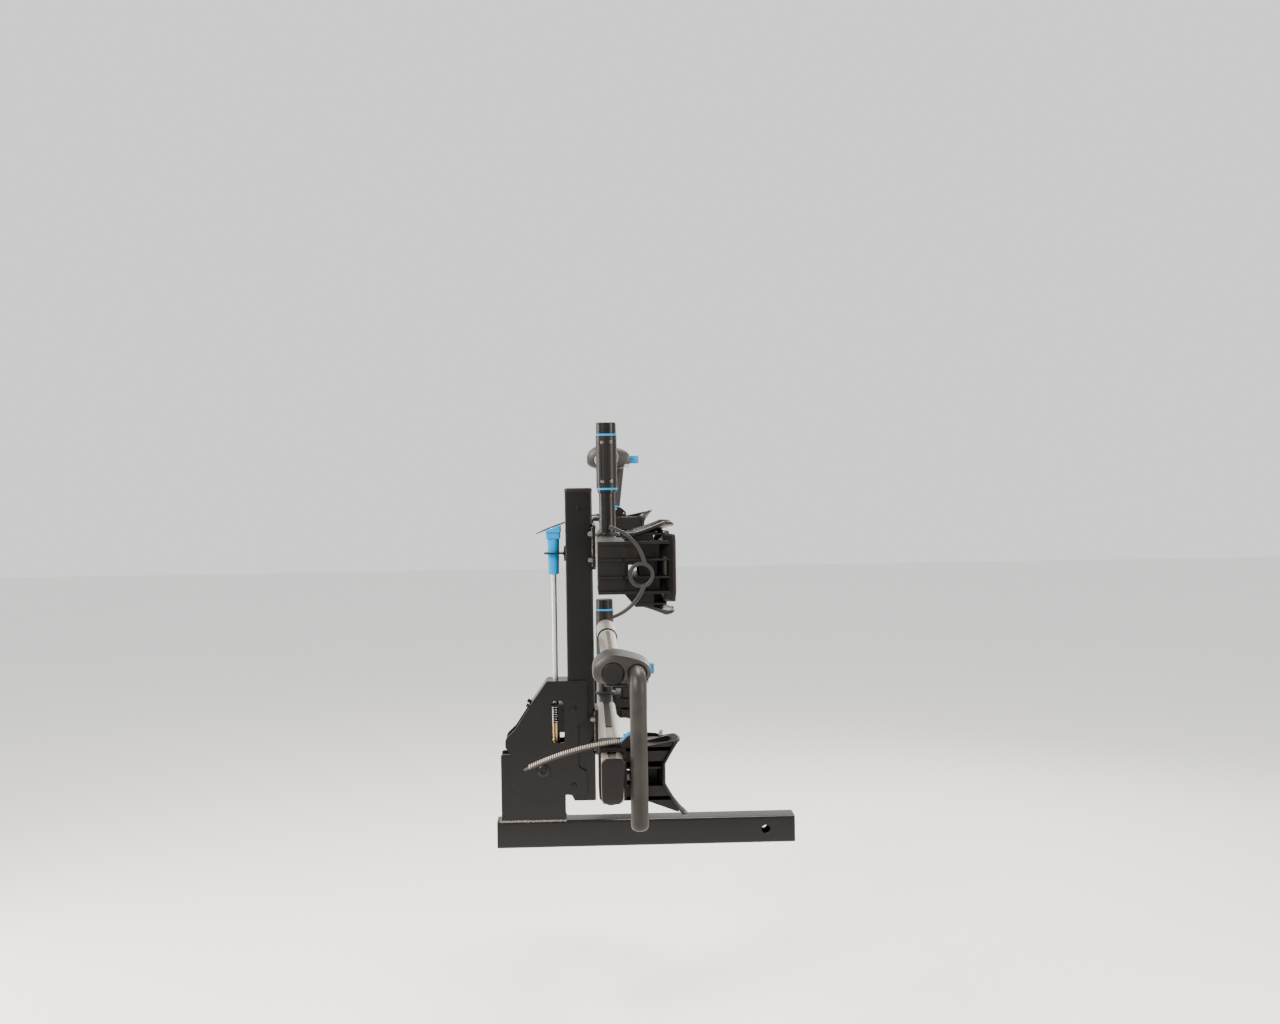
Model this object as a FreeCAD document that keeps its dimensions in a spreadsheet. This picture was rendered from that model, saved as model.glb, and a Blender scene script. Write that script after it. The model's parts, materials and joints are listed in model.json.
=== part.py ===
import FreeCAD, Part
import math
import os
import types
import Sketcher

# Two-bike platform rack for a 2 inch receiver hitch, folded up against the car.
# X points forwards to the car, Y to the left, Z up. The origin is the centre of the hitch pin hole.
# Below, x is counted from the mast's centre line, z from the hitch bar's centre line.

V = FreeCAD.Vector

SIZES = {
    # hitch bar: 2 inch square tube
    "pin_to_mast": 345.0, "bar_side": 50.8, "bar_wall": 4.8, "bar_corner": 5.0, "bar_rear": -161.0,
    "bar_length": 561.0, "pin_hole_radius": 8.15,
    # base welded on the bar, with the pivot of the fold
    "pivot_x": -72.6, "pivot_z": 121.3, "pivot_radius": 8.0, "base_rear": -152.0, "base_front": -32.0,
    "base_top": 152.0, "base_width": 49.0, "base_plate": 6.0, "rear_web_top": 134.0,
    "sector_radius": 45.0, "sector_thick": 12.0, "bolt_head_thick": 5.5,
    "bolt_gap": 0.5, "bush_radius": 11.0, "running_gap": 0.05,
    # mast
    "mast_side": 50.8, "mast_wall": 3.2, "mast_corner": 4.0, "mast_bottom": 62.5, "mast_top": 640.0,
    "mast_cap_thick": 9.0, "bracket_thick": 6.0, "bracket_top": 289.0, "web_thick": 5.0,
    "seat_bottom": 240.0, "cross_bolt_radius": 4.0, "top_bolt_z": 612.0,
    # release plunger, rod, grip and paddle
    "rod_x": -48.0, "rod_radius": 5.0, "pin_tip": 162.5, "plunger_top": 207.0,
    "rod_top": 574.0, "spring_outer": 7.0, "spring_inner": 5.4, "guide_z": 527.0, "guide_thick": 3.0,
    "guide_width": 40.0, "guide_hole": 12.5, "collar_radius": 14.5, "grip_top": 566.0,
    "paddle_low": 569.5, "paddle_top": 580.5, "paddle_width": 32.0,
    # trays
    "lower_tray_z": 193.0, "upper_tray_z": 539.0, "beam_x": 48.5, "beam_depth": 35.0, "beam_height": 72.0,
    "inner_depth": 30.0, "inner_height": 62.0, "inner_wall": 3.0, "beam_corner": 8.0,
    "rear_beam_end": 475.0, "rear_beam_overlap": 90.0, "front_beam_end": 590.0, "front_beam_overlap": 30.0,
    "beam_groove_wide": 14.0, "beam_groove_deep": 3.0, "end_cap_thick": 4.0,
    "bracket_plate_wide": 90.0, "bracket_plate_tall": 84.0, "bracket_plate_thick": 5.6,
    "stud_y": 35.0, "stud_z": 24.0, "stud_radius": 4.0, "nut_radius": 7.0, "nut_thick": 6.5,
    # arm post and the sleeve that turns on it; heights over the tray's centre
    "post_x": 50.0, "post_y": 240.0, "post_radius": 14.0, "post_head_radius": 17.3, "post_top": 224.5,
    "shoulder_radius": 16.5, "shoulder_bottom": 103.4, "shoulder_top": 108.4, "axial_gap": 0.35,
    "ring_thick": 3.5, "ring_radius": 18.2, "sleeve_radius": 18.0, "sleeve_bottom": 112.25,
    "sleeve_top": 201.55,
    # arm, measured along it from the post's axis
    "arm_x": 52.0, "arm_z": 165.0, "outer_tube_radius": 19.0, "inner_tube_radius": 16.95,
    "outer_tube_start": 8.0, "outer_tube_end": 183.0, "inner_tube_start": 40.0, "tube_wall": 2.0,
    "tube_slot_wide": 7.0, "head_mid": 640.0, "head_long": 90.0, "head_x": 66.5, "head_wide": 97.0,
    "head_tall": 48.0, "head_round": 17.0, "plug_thick": 5.0, "hook_x": 90.5, "hook_radius": 14.0,
    "hook_start": 650.0, "hook_leg": 708.0, "hook_bend": 28.0, "hook_drop": 247.0,
    "lever_axis_x": 108.0, "lever_axis_y": 625.0, "lever_pin": 2.0, "lever_tip": 131.0,
    "lever_tall": 17.0, "lever_wide": 12.0, "socket_gap": 0.15,
    # wheel troughs: shells swept round the wheel's axle
    "wheel_radius": 345.0, "floor_x": 120.0, "cradle_wing_x": 146.0, "holder_wing_x": 168.0,
    "floor_half": 16.0, "wing_half": 63.0,
    "shell": 5.0, "cradle_y": 530.0, "cradle_half": 78.0, "holder_y": 355.0, "holder_half": 70.0,
    # rear holder's yoke, strap and buckle
    "yoke_gap": 0.4, "yoke_wall": 6.6, "yoke_rear": 27.5, "yoke_inner_y": 330.0, "yoke_slot_x": 71.0,
    "arm_reach_x": 150.0,
    "strap_y": 410.0, "strap_wide": 23.0, "buckle_wall": 2.5, "buckle_rear": 64.0, "buckle_front": 102.0,
    "buckle_top": 62.0, "buckle_pin_x": 80.0, "buckle_pin_z": 58.5, "knob_x": 47.0, "knob_radius": 7.5,
    "knob_thick": 9.0,
}
size = types.SimpleNamespace(**SIZES)

doc = FreeCAD.newDocument("BikeRack")
sheet = doc.addObject("Spreadsheet::Sheet", "Sizes")
for row, (alias, value) in enumerate(SIZES.items(), 1):
    sheet.set(f"A{row}", alias)
    sheet.set(f"B{row}", str(value))
    sheet.setAlias(f"B{row}", alias)
doc.recompute()

nodes = []

# ---------------------------------------------------------------- helpers


def node(obj, label):
    """Name an object and list it as a sub-part."""
    obj.Label = label
    nodes.append(obj)
    return obj


def place(obj, x="0", y="0", z="0", turn=None):
    """Bind an object's place to the sheet; x counts from the mast's centre line."""
    if turn:
        obj.Placement.Rotation = turn
    obj.setExpression("Placement.Base.x", f"{x} - Sizes.pin_to_mast")
    obj.setExpression("Placement.Base.y", y)
    obj.setExpression("Placement.Base.z", z)
    return obj


def new_body(name, x="0", y="0", z="0", turn=None):
    return place(doc.addObject("PartDesign::Body", name), x, y, z, turn)


def new_sketch(body, role, height=None):
    """A sketch on one of the body's origin planes, raised along its normal by an expression."""
    sketch = body.newObject("Sketcher::SketchObject", body.Name + "_sketch")
    plane = next(item for item in body.Origin.OriginFeatures if item.Role == role)
    sketch.AttachmentSupport = (plane, "")
    sketch.MapMode = "FlatFace"
    if height:
        sketch.setExpression("AttachmentOffset.Base.z", height)
    return sketch


def outline(sketch, corners):
    """Draw a closed outline of (x, y) or (x, y, rounding radius) corners."""
    count = len(corners)
    trimmed = []
    for index, corner in enumerate(corners):
        point = V(corner[0], corner[1])
        if len(corner) < 3:
            trimmed.append((point, None, point))
            continue
        before = (V(*corners[index - 1][:2]) - point).normalize()
        after = (V(*corners[(index + 1) % count][:2]) - point).normalize()
        half_turn = before.getAngle(after) / 2
        inwards = (before + after).normalize()
        middle = point + inwards * (corner[2] / math.sin(half_turn) - corner[2])
        cut = corner[2] / math.tan(half_turn)
        trimmed.append((point + before * cut, middle, point + after * cut))
    for index, (start, middle, end) in enumerate(trimmed):
        if middle is not None:
            sketch.addGeometry(Part.Arc(start, middle, end), False)
        following = trimmed[(index + 1) % count][0]
        if end.distanceToPoint(following) > 1e-6:
            sketch.addGeometry(Part.LineSegment(end, following), False)


def circle(sketch, x, y, radius):
    """Draw a circle whose radius is bound to the sheet."""
    index = sketch.addGeometry(Part.Circle(V(x, y), V(0, 0, 1), getattr(size, radius)), False)
    name = f"radius_{index}"
    constraint = sketch.addConstraint(Sketcher.Constraint("Radius", index, getattr(size, radius)))
    sketch.renameConstraint(constraint, name)
    sketch.setExpression(f"Constraints.{name}", f"Sizes.{radius}")


def rectangle(half_x, half_y, radius=None, x=0.0, y=0.0):
    """Corners of a rectangle about a point, for an outline."""
    corners = [(x - half_x, y - half_y), (x + half_x, y - half_y), (x + half_x, y + half_y),
               (x - half_x, y + half_y)]
    return [corner + (radius,) for corner in corners] if radius else corners


def pad(body, sketch, length, middle=False):
    feature = body.newObject("PartDesign::Pad", body.Name + "_pad")
    feature.Profile = sketch
    feature.Midplane = middle
    feature.setExpression("Length", length)
    return feature


def pocket_through(body, sketch):
    """Cut a sketch through the whole body, both ways."""
    feature = body.newObject("PartDesign::Pocket", body.Name + "_pocket")
    feature.Profile = sketch
    feature.Midplane = True
    feature.Type = "ThroughAll"
    return feature


TURN_TO = {
    "Z": FreeCAD.Rotation(),
    "-Z": FreeCAD.Rotation(V(1, 0, 0), 180),
    "X": FreeCAD.Rotation(V(0, 1, 0), 90),
    "-X": FreeCAD.Rotation(V(0, 1, 0), -90),
    "Y": FreeCAD.Rotation(V(1, 0, 0), -90),
    "-Y": FreeCAD.Rotation(V(1, 0, 0), 90),
}


def turned(name, profile, x="0", y="0", z="0", along="Z"):
    """A turned piece: (radius, height) corners spun about the axis that points along."""
    body = new_body(name, x, y, z, TURN_TO[along])
    sketch = new_sketch(body, "XZ_Plane")
    outline(sketch, profile)
    spin = body.newObject("PartDesign::Revolution", name + "_spin")
    spin.Profile = sketch
    spin.ReferenceAxis = (sketch, ["V_Axis"])
    spin.Angle = 360
    return body


def box(name, lengths, corner, turn=None):
    """A Part box of three expressions, with its low corner at three expressions."""
    solid = doc.addObject("Part::Box", name)
    for side, length in zip(("Length", "Width", "Height"), lengths):
        solid.setExpression(side, length)
    return place(solid, *corner, turn)


def rod(name, radius, length, foot, along="Z"):
    """A Part cylinder that starts at foot and points along an axis."""
    solid = doc.addObject("Part::Cylinder", name)
    solid.setExpression("Radius", radius)
    solid.setExpression("Height", length)
    return place(solid, *foot, TURN_TO[along])


def joined(name, pieces):
    fusion = doc.addObject("Part::MultiFuse", name)
    fusion.Shapes = pieces
    return fusion


def cut(name, base, tools):
    """Take tools away from base."""
    difference = doc.addObject("Part::Cut", name)
    difference.Base = base
    difference.Tool = joined(name + "_tools", tools) if len(tools) > 1 else tools[0]
    return difference


def group(name, pieces):
    """Several separate solids in one node."""
    compound = doc.addObject("Part::Compound", name)
    compound.Links = pieces
    return node(compound, name)


def rounded(name, base, radius, wanted):
    """Round the edges of base that wanted(edge) picks."""
    doc.recompute()
    fillet = doc.addObject("Part::Fillet", name)
    fillet.Base = base
    edges = enumerate(base.Shape.Edges, 1)
    fillet.Edges = [(index, radius, radius) for index, edge in edges if wanted(edge)]
    return fillet


# ---------------------------------------------------------------- hitch bar and base


def hitch_bar():
    body = node(new_body("hitch_bar", "Sizes.bar_rear"), "hitch_bar")
    half = size.bar_side / 2
    section = new_sketch(body, "YZ_Plane")
    outline(section, rectangle(half, half, size.bar_corner))
    outline(section, rectangle(half - size.bar_wall, half - size.bar_wall, 1.5))
    pad(body, section, "Sizes.bar_length")
    hole = new_sketch(body, "XZ_Plane")
    circle(hole, size.pin_to_mast - size.bar_rear, 0, "pin_hole_radius")
    pocket_through(body, hole)


def base_channel():
    """A bent channel round the lock sector: two walls and a rear web, welded on the bar."""
    body = node(new_body("base_channel", "Sizes.pivot_x", "0", "Sizes.pivot_z"), "base_channel")
    rear, front = size.base_rear - size.pivot_x, size.base_front - size.pivot_x
    bottom, top = size.bar_side / 2 - size.pivot_z, size.base_top - size.pivot_z
    walls = new_sketch(body, "XZ_Plane")
    outline(walls, [(rear, bottom), (front, bottom), (front, top, 20.0), (rear, top, 4.0)])
    circle(walls, 0, 0, "pivot_radius")
    pad(body, walls, "Sizes.base_width", True)
    inside = size.base_width / 2 - size.base_plate
    gap = new_sketch(body, "YZ_Plane", f"{rear + size.base_plate} + 200")
    outline(gap, rectangle(inside, 100.0))
    hollow = body.newObject("PartDesign::Pocket", "base_channel_hollow")
    hollow.Profile = gap
    hollow.Length = 200.0
    over_web = new_sketch(body, "YZ_Plane")
    web_top = size.rear_web_top - size.pivot_z
    outline(over_web, rectangle(inside, 50.0, None, 0.0, web_top + 50.0))
    pocket_through(body, over_web)


def lock_sector():
    """The plate whose rim has a pocket for the plunger stowed and another one level."""
    body = node(new_body("lock_sector", "Sizes.pivot_x", "0", "Sizes.pivot_z"), "lock_sector")
    radius = size.sector_radius
    bottom = size.bar_side / 2 - size.pivot_z
    foot = 38.0
    rim_start = math.sqrt(radius ** 2 - foot ** 2)
    plate = new_sketch(body, "XZ_Plane")
    plate.addGeometry(Part.Arc(V(foot, rim_start), V(0, radius), V(-foot, rim_start)), False)
    plate.addGeometry(Part.LineSegment(V(-foot, rim_start), V(-foot, bottom)), False)
    plate.addGeometry(Part.LineSegment(V(-foot, bottom), V(foot, bottom)), False)
    plate.addGeometry(Part.LineSegment(V(foot, bottom), V(foot, rim_start)), False)
    circle(plate, 0, 0, "pivot_radius")
    pad(body, plate, "Sizes.sector_thick", True)
    offset, half = size.rod_x - size.pivot_x, size.rod_radius + 0.5
    floor, ledge, ring_half, open_end = 28.0, 37.2, 8.0, 60.0
    pocket = [(offset - ring_half, open_end), (offset - ring_half, ledge), (offset - half, ledge),
              (offset - half, floor), (offset + half, floor), (offset + half, ledge),
              (offset + ring_half, ledge), (offset + ring_half, open_end)]
    pockets = new_sketch(body, "XZ_Plane")
    outline(pockets, pocket)
    outline(pockets, [(-z, x) for x, z in pocket])
    pocket_through(body, pockets)


def pivot():
    half = size.base_width / 2 + 0.9 + size.bracket_thick + size.bolt_gap
    head = size.bolt_head_thick
    bolt = turned("pivot_bolt", [(0, -half - head + 3.0), (9.5, -half - head + 3.0),
                                 (9.5, -half - head), (13.0, -half - head, 1.0), (13.0, -half),
                                 (8.0, -half), (8.0, half + 8.0), (0, half + 8.0)],
                  "Sizes.pivot_x", "0", "Sizes.pivot_z", "Y")
    node(bolt, "pivot_bolt")
    nut = turned("pivot_nut", [(8.0, half), (13.0, half), (13.0, half + 7.0, 1.0), (8.0, half + 7.0)],
                 "Sizes.pivot_x", "0", "Sizes.pivot_z", "Y")
    node(nut, "pivot_nut")


# ---------------------------------------------------------------- mast

BRACKET_BOLTS = ((-14.0, 237.0), (-16.0, 93.0))


def mast_tube():
    body = node(new_body("mast_tube", "0", "0", "Sizes.mast_bottom"), "mast_tube")
    half = size.mast_side / 2
    section = new_sketch(body, "XY_Plane")
    outline(section, rectangle(half, half, size.mast_corner))
    outline(section, rectangle(half - size.mast_wall, half - size.mast_wall, 1.0))
    pad(body, section, "Sizes.mast_top - Sizes.mast_bottom")
    side = new_sketch(body, "XZ_Plane")
    for x, z in BRACKET_BOLTS + ((0.0, size.top_bolt_z),):
        circle(side, x, z - size.mast_bottom, "cross_bolt_radius")
    pocket_through(body, side)
    corner = new_sketch(body, "XZ_Plane")
    outline(corner, [(-half - 5.0, -5.0), (-15.0, -5.0), (-15.0, 0.5), (-20.0, 10.5), (-half - 5.0, 10.5)])
    pocket_through(body, corner)


def mast_cap():
    """Plastic cap pressed on the tube's end, with a skirt inside it."""
    body = node(new_body("mast_cap", "0", "0", "Sizes.mast_top"), "mast_cap")
    half = size.mast_side / 2
    lid = new_sketch(body, "XY_Plane")
    outline(lid, rectangle(half + 0.6, half + 0.6, size.mast_corner))
    pad(body, lid, "Sizes.mast_cap_thick")
    skirt = new_sketch(body, "XY_Plane", "-12")
    inner = half - size.mast_wall
    outline(skirt, rectangle(inner, inner, 1.0))
    outline(skirt, rectangle(inner - 2.0, inner - 2.0, 1.0))
    pad(body, skirt, "12")


def bracket_plate(side, hand):
    """One of the two plates that join the mast to the pivot; the window shows the spring."""
    middle = size.mast_side / 2 + size.bracket_thick / 2
    body = node(new_body(f"bracket_plate_{hand}", "0", f"{side * middle}", "0"), f"bracket_plate_{hand}")
    shape = new_sketch(body, "XZ_Plane")
    outline(shape, [(-64.0, size.bracket_top), (11.0, size.bracket_top, 7.0), (11.0, 216.0, 5.0),
                    (-7.0, 206.0, 5.0), (-7.0, 128.0, 5.0), (8.6, 118.0, 5.0), (8.6, 75.0, 4.0),
                    (-44.0, 75.0, 6.0), (-58.0, 66.8, 12.0), (-92.0, 66.8, 20.0), (-134.0, 92.0, 30.0),
                    (-134.0, 154.0, 6.0), (-143.0, 166.0, 6.0), (-143.0, 182.0, 14.0),
                    (-125.0, 199.0, 8.0), (-98.0, 239.5, 2.0), (-104.0, 243.5, 1.5), (-100.5, 249.0, 1.5),
                    (-95.0, 245.5, 1.5)])
    circle(shape, size.pivot_x, size.pivot_z, "bush_radius")
    outline(shape, [(-55.8, 173.0, 4.0), (-32.3, 173.0, 4.0), (-32.3, 252.0, 8.0), (-55.8, 252.0, 8.0)])
    for x, z in BRACKET_BOLTS:
        circle(shape, x, z, "cross_bolt_radius")
    pad(body, shape, "Sizes.bracket_thick", True)


def bracket_webs():
    """Between the plates: the bent cover over the top edge, and the spring's upper seat."""
    inner = size.mast_side / 2
    cover = new_body("bracket_cover", "0", "0", "0")
    bend = new_sketch(cover, "XZ_Plane")
    top, thick = size.bracket_top, size.web_thick
    outline(bend, [(-inner, top), (-64.0, top), (-93.0, 248.5), (-88.6, 245.4), (-61.6, top - thick),
                   (-inner, top - thick)])
    pad(cover, bend, "Sizes.mast_side", True)
    passage = new_sketch(cover, "XY_Plane")
    passage.addGeometry(Part.Circle(V(size.rod_x, 0), V(0, 0, 1), 6.5), False)
    pocket_through(cover, passage)
    seat = new_body("spring_seat", "0", "0", "Sizes.seat_bottom")
    plate = new_sketch(seat, "XY_Plane")
    outline(plate, [(-60.0, -inner), (-inner, -inner), (-inner, inner), (-60.0, inner)])
    plate.addGeometry(Part.Circle(V(size.rod_x, 0), V(0, 0, 1), 5.6), False)
    pad(seat, plate, "4")
    group("bracket_webs", [cover, seat])


def bracket_bolts():
    """Cross bolts through the plates and the mast, and the one near the mast's top."""
    bolts = []
    spots = [(x, z, size.mast_side / 2 + size.bracket_thick) for x, z in BRACKET_BOLTS]
    spots.append((0.0, size.top_bolt_z, size.mast_side / 2))
    for index, (x, z, half) in enumerate(spots):
        profile = [(0, -half - 2.4), (3.6, -half - 2.4, 1.2), (5.3, -half, 0.4), (4.0, -half),
                   (4.0, half), (5.3, half, 0.4), (3.6, half + 2.4, 1.2), (0, half + 2.4)]
        bolts.append(turned(f"cross_bolt_{index}", profile, f"{x}", "0", f"{z}", "Y"))
    group("mast_bolts", bolts)


def pivot_bushes():
    bushes = []
    inner = size.pivot_radius + size.running_gap
    for side in (-1, 1):
        start = side * (size.mast_side / 2 + size.bracket_thick / 2) - size.bracket_thick / 2
        profile = [(inner, 0), (size.bush_radius, 0), (size.bush_radius, size.bracket_thick),
                   (inner, size.bracket_thick)]
        bushes.append(turned(f"bush_{side + 1}", profile, "Sizes.pivot_x", f"{start}", "Sizes.pivot_z", "Y"))
    group("pivot_bushes", bushes)


def guide_plate():
    """The bracket on the mast that the grip slides through."""
    face = size.mast_side / 2
    body = node(new_body("guide_plate", "0", "0", "Sizes.guide_z"), "guide_plate")
    half = size.guide_width / 2
    plate = new_sketch(body, "XY_Plane")
    outline(plate, [(-66.0, -half, 9.0), (-face, -half), (-face, half), (-66.0, half, 9.0)])
    circle(plate, size.rod_x, 0, "guide_hole")
    pad(body, plate, "Sizes.guide_thick", True)
    gusset = new_sketch(body, "XZ_Plane")
    outline(gusset, [(-face, -14.0), (-face, 13.0), (-face - 3.0, 13.0), (-face - 3.0, 1.5, 4.0),
                     (-face - 9.0, 1.5), (-face - 9.0, -1.5), (-face - 3.0, -1.5, 4.0),
                     (-face - 3.0, -14.0)])
    pad(body, gusset, "Sizes.guide_width", True)


# ---------------------------------------------------------------- release


def release():
    tip, top = size.pin_tip, size.plunger_top
    plunger = turned("lock_plunger", [(0, tip), (5.0, tip, 0.8), (5.0, 171.0), (7.5, 171.0, 0.8),
                                      (7.5, 177.0, 0.8), (7.0, 177.0), (7.0, top - 1.0),
                                      (6.0, top), (0, top)], "Sizes.rod_x")
    node(plunger, "lock_plunger")
    spring = turned("release_spring", [(size.spring_inner, top), (size.spring_outer, top),
                                       (size.spring_outer, size.seat_bottom),
                                       (size.spring_inner, size.seat_bottom)], "Sizes.rod_x")
    node(spring, "release_spring")
    node(rod("release_rod", "Sizes.rod_radius", "Sizes.rod_top - Sizes.plunger_top",
             ("Sizes.rod_x", "0", "Sizes.plunger_top")), "release_rod")
    grip = turned("release_grip", [(5.0, 487.0), (9.75, 487.0, 1.5), (10.4, 515.0), (11.5, 551.0, 2.0),
                                   (size.collar_radius, 557.0, 2.5), (size.collar_radius, size.grip_top),
                                   (5.0, size.grip_top)], "Sizes.rod_x")
    node(grip, "release_grip")
    paddle = new_body("paddle", "Sizes.rod_x")
    wedge = new_sketch(paddle, "XZ_Plane")
    half, foot = size.collar_radius, size.grip_top
    outline(wedge, [(-half, foot), (half, foot), (half, size.paddle_top, 1.5),
                    (-half, size.paddle_low, 1.5)])
    pad(paddle, wedge, "Sizes.paddle_width", True)
    hole = rod("paddle_hole", "Sizes.rod_radius", "30", ("Sizes.rod_x", "0", "Sizes.rod_top - 30"))
    node(cut("release_paddle", paddle, [hole]), "release_paddle")


# ---------------------------------------------------------------- trays

# name, height over the bar, side of the front wheel, how far the arm is drawn out, lean of the hook
TRAYS = (("lower", "Sizes.lower_tray_z", 1, 0.0, 0.0), ("upper", "Sizes.upper_tray_z", -1, 32.0, 7.0))


def tray_value(name):
    return getattr(size, f"{name}_tray_z")


def beams(name, height, side):
    """Both halves of a tray's beam: the black one slides inside the silver one."""
    middle = f"{side} * (Sizes.front_beam_end - Sizes.front_beam_overlap) / 2"
    front = node(new_body(f"{name}_front_beam", "Sizes.beam_x", middle, height), f"{name}_front_beam")
    depth, tall, wall = size.inner_depth / 2, size.inner_height / 2, size.inner_wall
    section = new_sketch(front, "XZ_Plane")
    outline(section, rectangle(depth, tall, 4.0))
    outline(section, rectangle(depth - wall, tall - wall, 2.0))
    pad(front, section, "Sizes.front_beam_end + Sizes.front_beam_overlap", True)
    middle = f"{-side} * (Sizes.rear_beam_end - Sizes.rear_beam_overlap) / 2"
    rear = node(new_body(f"{name}_rear_beam", "Sizes.beam_x", middle, height), f"{name}_rear_beam")
    outer, top = size.beam_depth / 2, size.beam_height / 2
    groove, deep = size.beam_groove_wide / 2, size.beam_groove_deep
    section = new_sketch(rear, "XZ_Plane")
    outline(section, [(-outer, -top, 2.0), (-groove, -top), (-groove, deep - top), (groove, deep - top),
                      (groove, -top), (outer, -top, size.beam_corner), (outer, top, size.beam_corner),
                      (groove, top), (groove, top - deep), (-groove, top - deep), (-groove, top),
                      (-outer, top, 2.0)])
    outline(section, rectangle(depth, tall, 4.0))
    pad(rear, section, "Sizes.rear_beam_end + Sizes.rear_beam_overlap", True)


def end_cap(name, height, side):
    """The plate over the silver beam's end, with a skirt inside it."""
    body = new_body(f"{name}_end_cap", "Sizes.beam_x",
                    f"{-side} * (Sizes.rear_beam_end + Sizes.end_cap_thick / 2)", height)
    lid = new_sketch(body, "XZ_Plane")
    outer, top = size.beam_depth / 2, size.beam_height / 2
    outline(lid, [(-outer, -top, 2.0), (outer, -top, size.beam_corner), (outer, top, size.beam_corner),
                  (-outer, top, 2.0)])
    pad(body, lid, "Sizes.end_cap_thick", True)
    return body


def tray_bracket(name, height):
    """The plate between the mast and a tray's beam."""
    body = new_body(f"{name}_tray_bracket", "Sizes.mast_side / 2", "0", height)
    plate = new_sketch(body, "YZ_Plane")
    outline(plate, rectangle(size.bracket_plate_wide / 2, size.bracket_plate_tall / 2, 6.0))
    for y in (-size.stud_y, size.stud_y):
        for z in (-size.stud_z, size.stud_z):
            circle(plate, y, z, "stud_radius")
    pad(body, plate, "Sizes.bracket_plate_thick")
    return body


def hex_corners(radius, x, y):
    """Corners of a hexagon about a point."""
    return [(x + radius * math.cos(math.radians(60 * turn)), y + radius * math.sin(math.radians(60 * turn)))
            for turn in range(6)]


def tray_studs(name, height):
    """Studs on the beam's back, through the bracket, with their nuts."""
    pieces = []
    for y in (-size.stud_y, size.stud_y):
        for z in (-size.stud_z, size.stud_z):
            tag = f"{name}_stud_{int(y)}_{int(z)}".replace("-", "m")
            body = new_body(tag, "Sizes.mast_side / 2", f"{y}", f"{height} + {z}", TURN_TO["-X"])
            nut = new_sketch(body, "XY_Plane")
            outline(nut, hex_corners(size.nut_radius, 0.0, 0.0))
            pad(body, nut, "Sizes.nut_thick")
            shank = new_sketch(body, "XY_Plane", "-Sizes.bracket_plate_thick")
            circle(shank, 0, 0, "stud_radius")
            pad(body, shank, "Sizes.bracket_plate_thick + Sizes.nut_thick + 2")
            pieces.append(body)
    return pieces


def trough(middle, half, wing):
    """A flared shell under a tyre, swept round the axle; y counts along the tray from its centre."""
    floor, shell = size.floor_x, size.shell
    low, high = size.floor_half, size.wing_half
    section = [(wing, high), (floor, low), (floor, -low), (wing, -high), (wing, -high - shell),
               (floor - shell, -low - 4.0), (floor - shell, low + 4.0), (wing, high + shell)]
    corners = [V(x, middle, z) for x, z in section]
    face = Part.Face(Part.makePolygon(corners + corners[:1]))
    axle = V(floor + size.wheel_radius, middle, 0)
    angle = 2 * math.degrees(math.asin(half / size.wheel_radius))
    face.rotate(axle, V(0, 0, 1), -angle / 2)
    return face.revolve(axle, V(0, 0, 1), angle)


def block(x, y, z):
    """A solid block between (low, high) pairs."""
    return Part.makeBox(x[1] - x[0], y[1] - y[0], z[1] - z[0], V(x[0], y[0], z[0]))


def set_shape(label, shape, side, height):
    """A sub-part whose shape is set here, turned to its side of the tray and put at its height."""
    if side < 0:
        shape = shape.mirror(V(0, 0, 0), V(0, 1, 0))
    feature = doc.addObject("Part::Feature", label)
    feature.Shape = shape
    feature.Placement = FreeCAD.Placement(V(-size.pin_to_mast, 0, height), FreeCAD.Rotation())
    return node(feature, label)


def front_cradle(name, side):
    """Ribbed front wheel cradle, moulded in one piece over the end of the black beam."""
    depth, tall = size.inner_depth / 2, size.inner_height / 2
    start, end = size.cradle_y - 60.0, size.cradle_y + 72.0
    shape = trough(size.cradle_y, size.cradle_half, size.cradle_wing_x)
    pieces = [block((size.beam_x - depth - 5.0, size.beam_x + depth + 5.0), (start, end),
                    (-tall - 5.0, tall + 5.0))]
    for z in (-42.0, -18.0, 7.0, 31.0):
        pieces.append(block((32.0, size.floor_x - 1.0), (start - 4.0, end + 4.0), (z, z + 4.0)))
    for y in (start, size.cradle_y, end - 4.0):
        wall = block((60.0, size.floor_x - 1.0), (y, y + 4.0), (-42.0, 35.0))
        pieces.append(wall.cut(block((71.0, 96.0), (y - 1.0, y + 5.0), (-26.0, 6.0))))
        pieces.append(block((80.0, size.floor_x - 1.0), (y, y + 4.0), (-62.0, -41.0)))
    pieces.append(block((80.0, size.floor_x - 1.0), (start, end), (-62.0, -58.0)))
    shape = shape.multiFuse(pieces)
    shape = shape.cut(block((size.beam_x - depth, size.beam_x + depth),
                            (0.0, size.front_beam_end), (-tall, tall)))
    set_shape(f"{name}_front_cradle", shape.removeSplitter(), side, tray_value(name))


def arc_band(first, middle, last, thick, along):
    """Face of a curved band between two arcs, offset by thick in z; along is its y."""
    lower = Part.Arc(*(V(x, along, z) for x, z in (first, middle, last))).toShape()
    upper = Part.Arc(*(V(x, along, z + thick) for x, z in (last, middle, first))).toShape()
    ends = [Part.makeLine(V(last[0], along, last[1]), V(last[0], along, last[1] + thick)),
            Part.makeLine(V(first[0], along, first[1] + thick), V(first[0], along, first[1]))]
    return Part.Face(Part.Wire([lower, ends[0], upper, ends[1]]))


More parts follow.
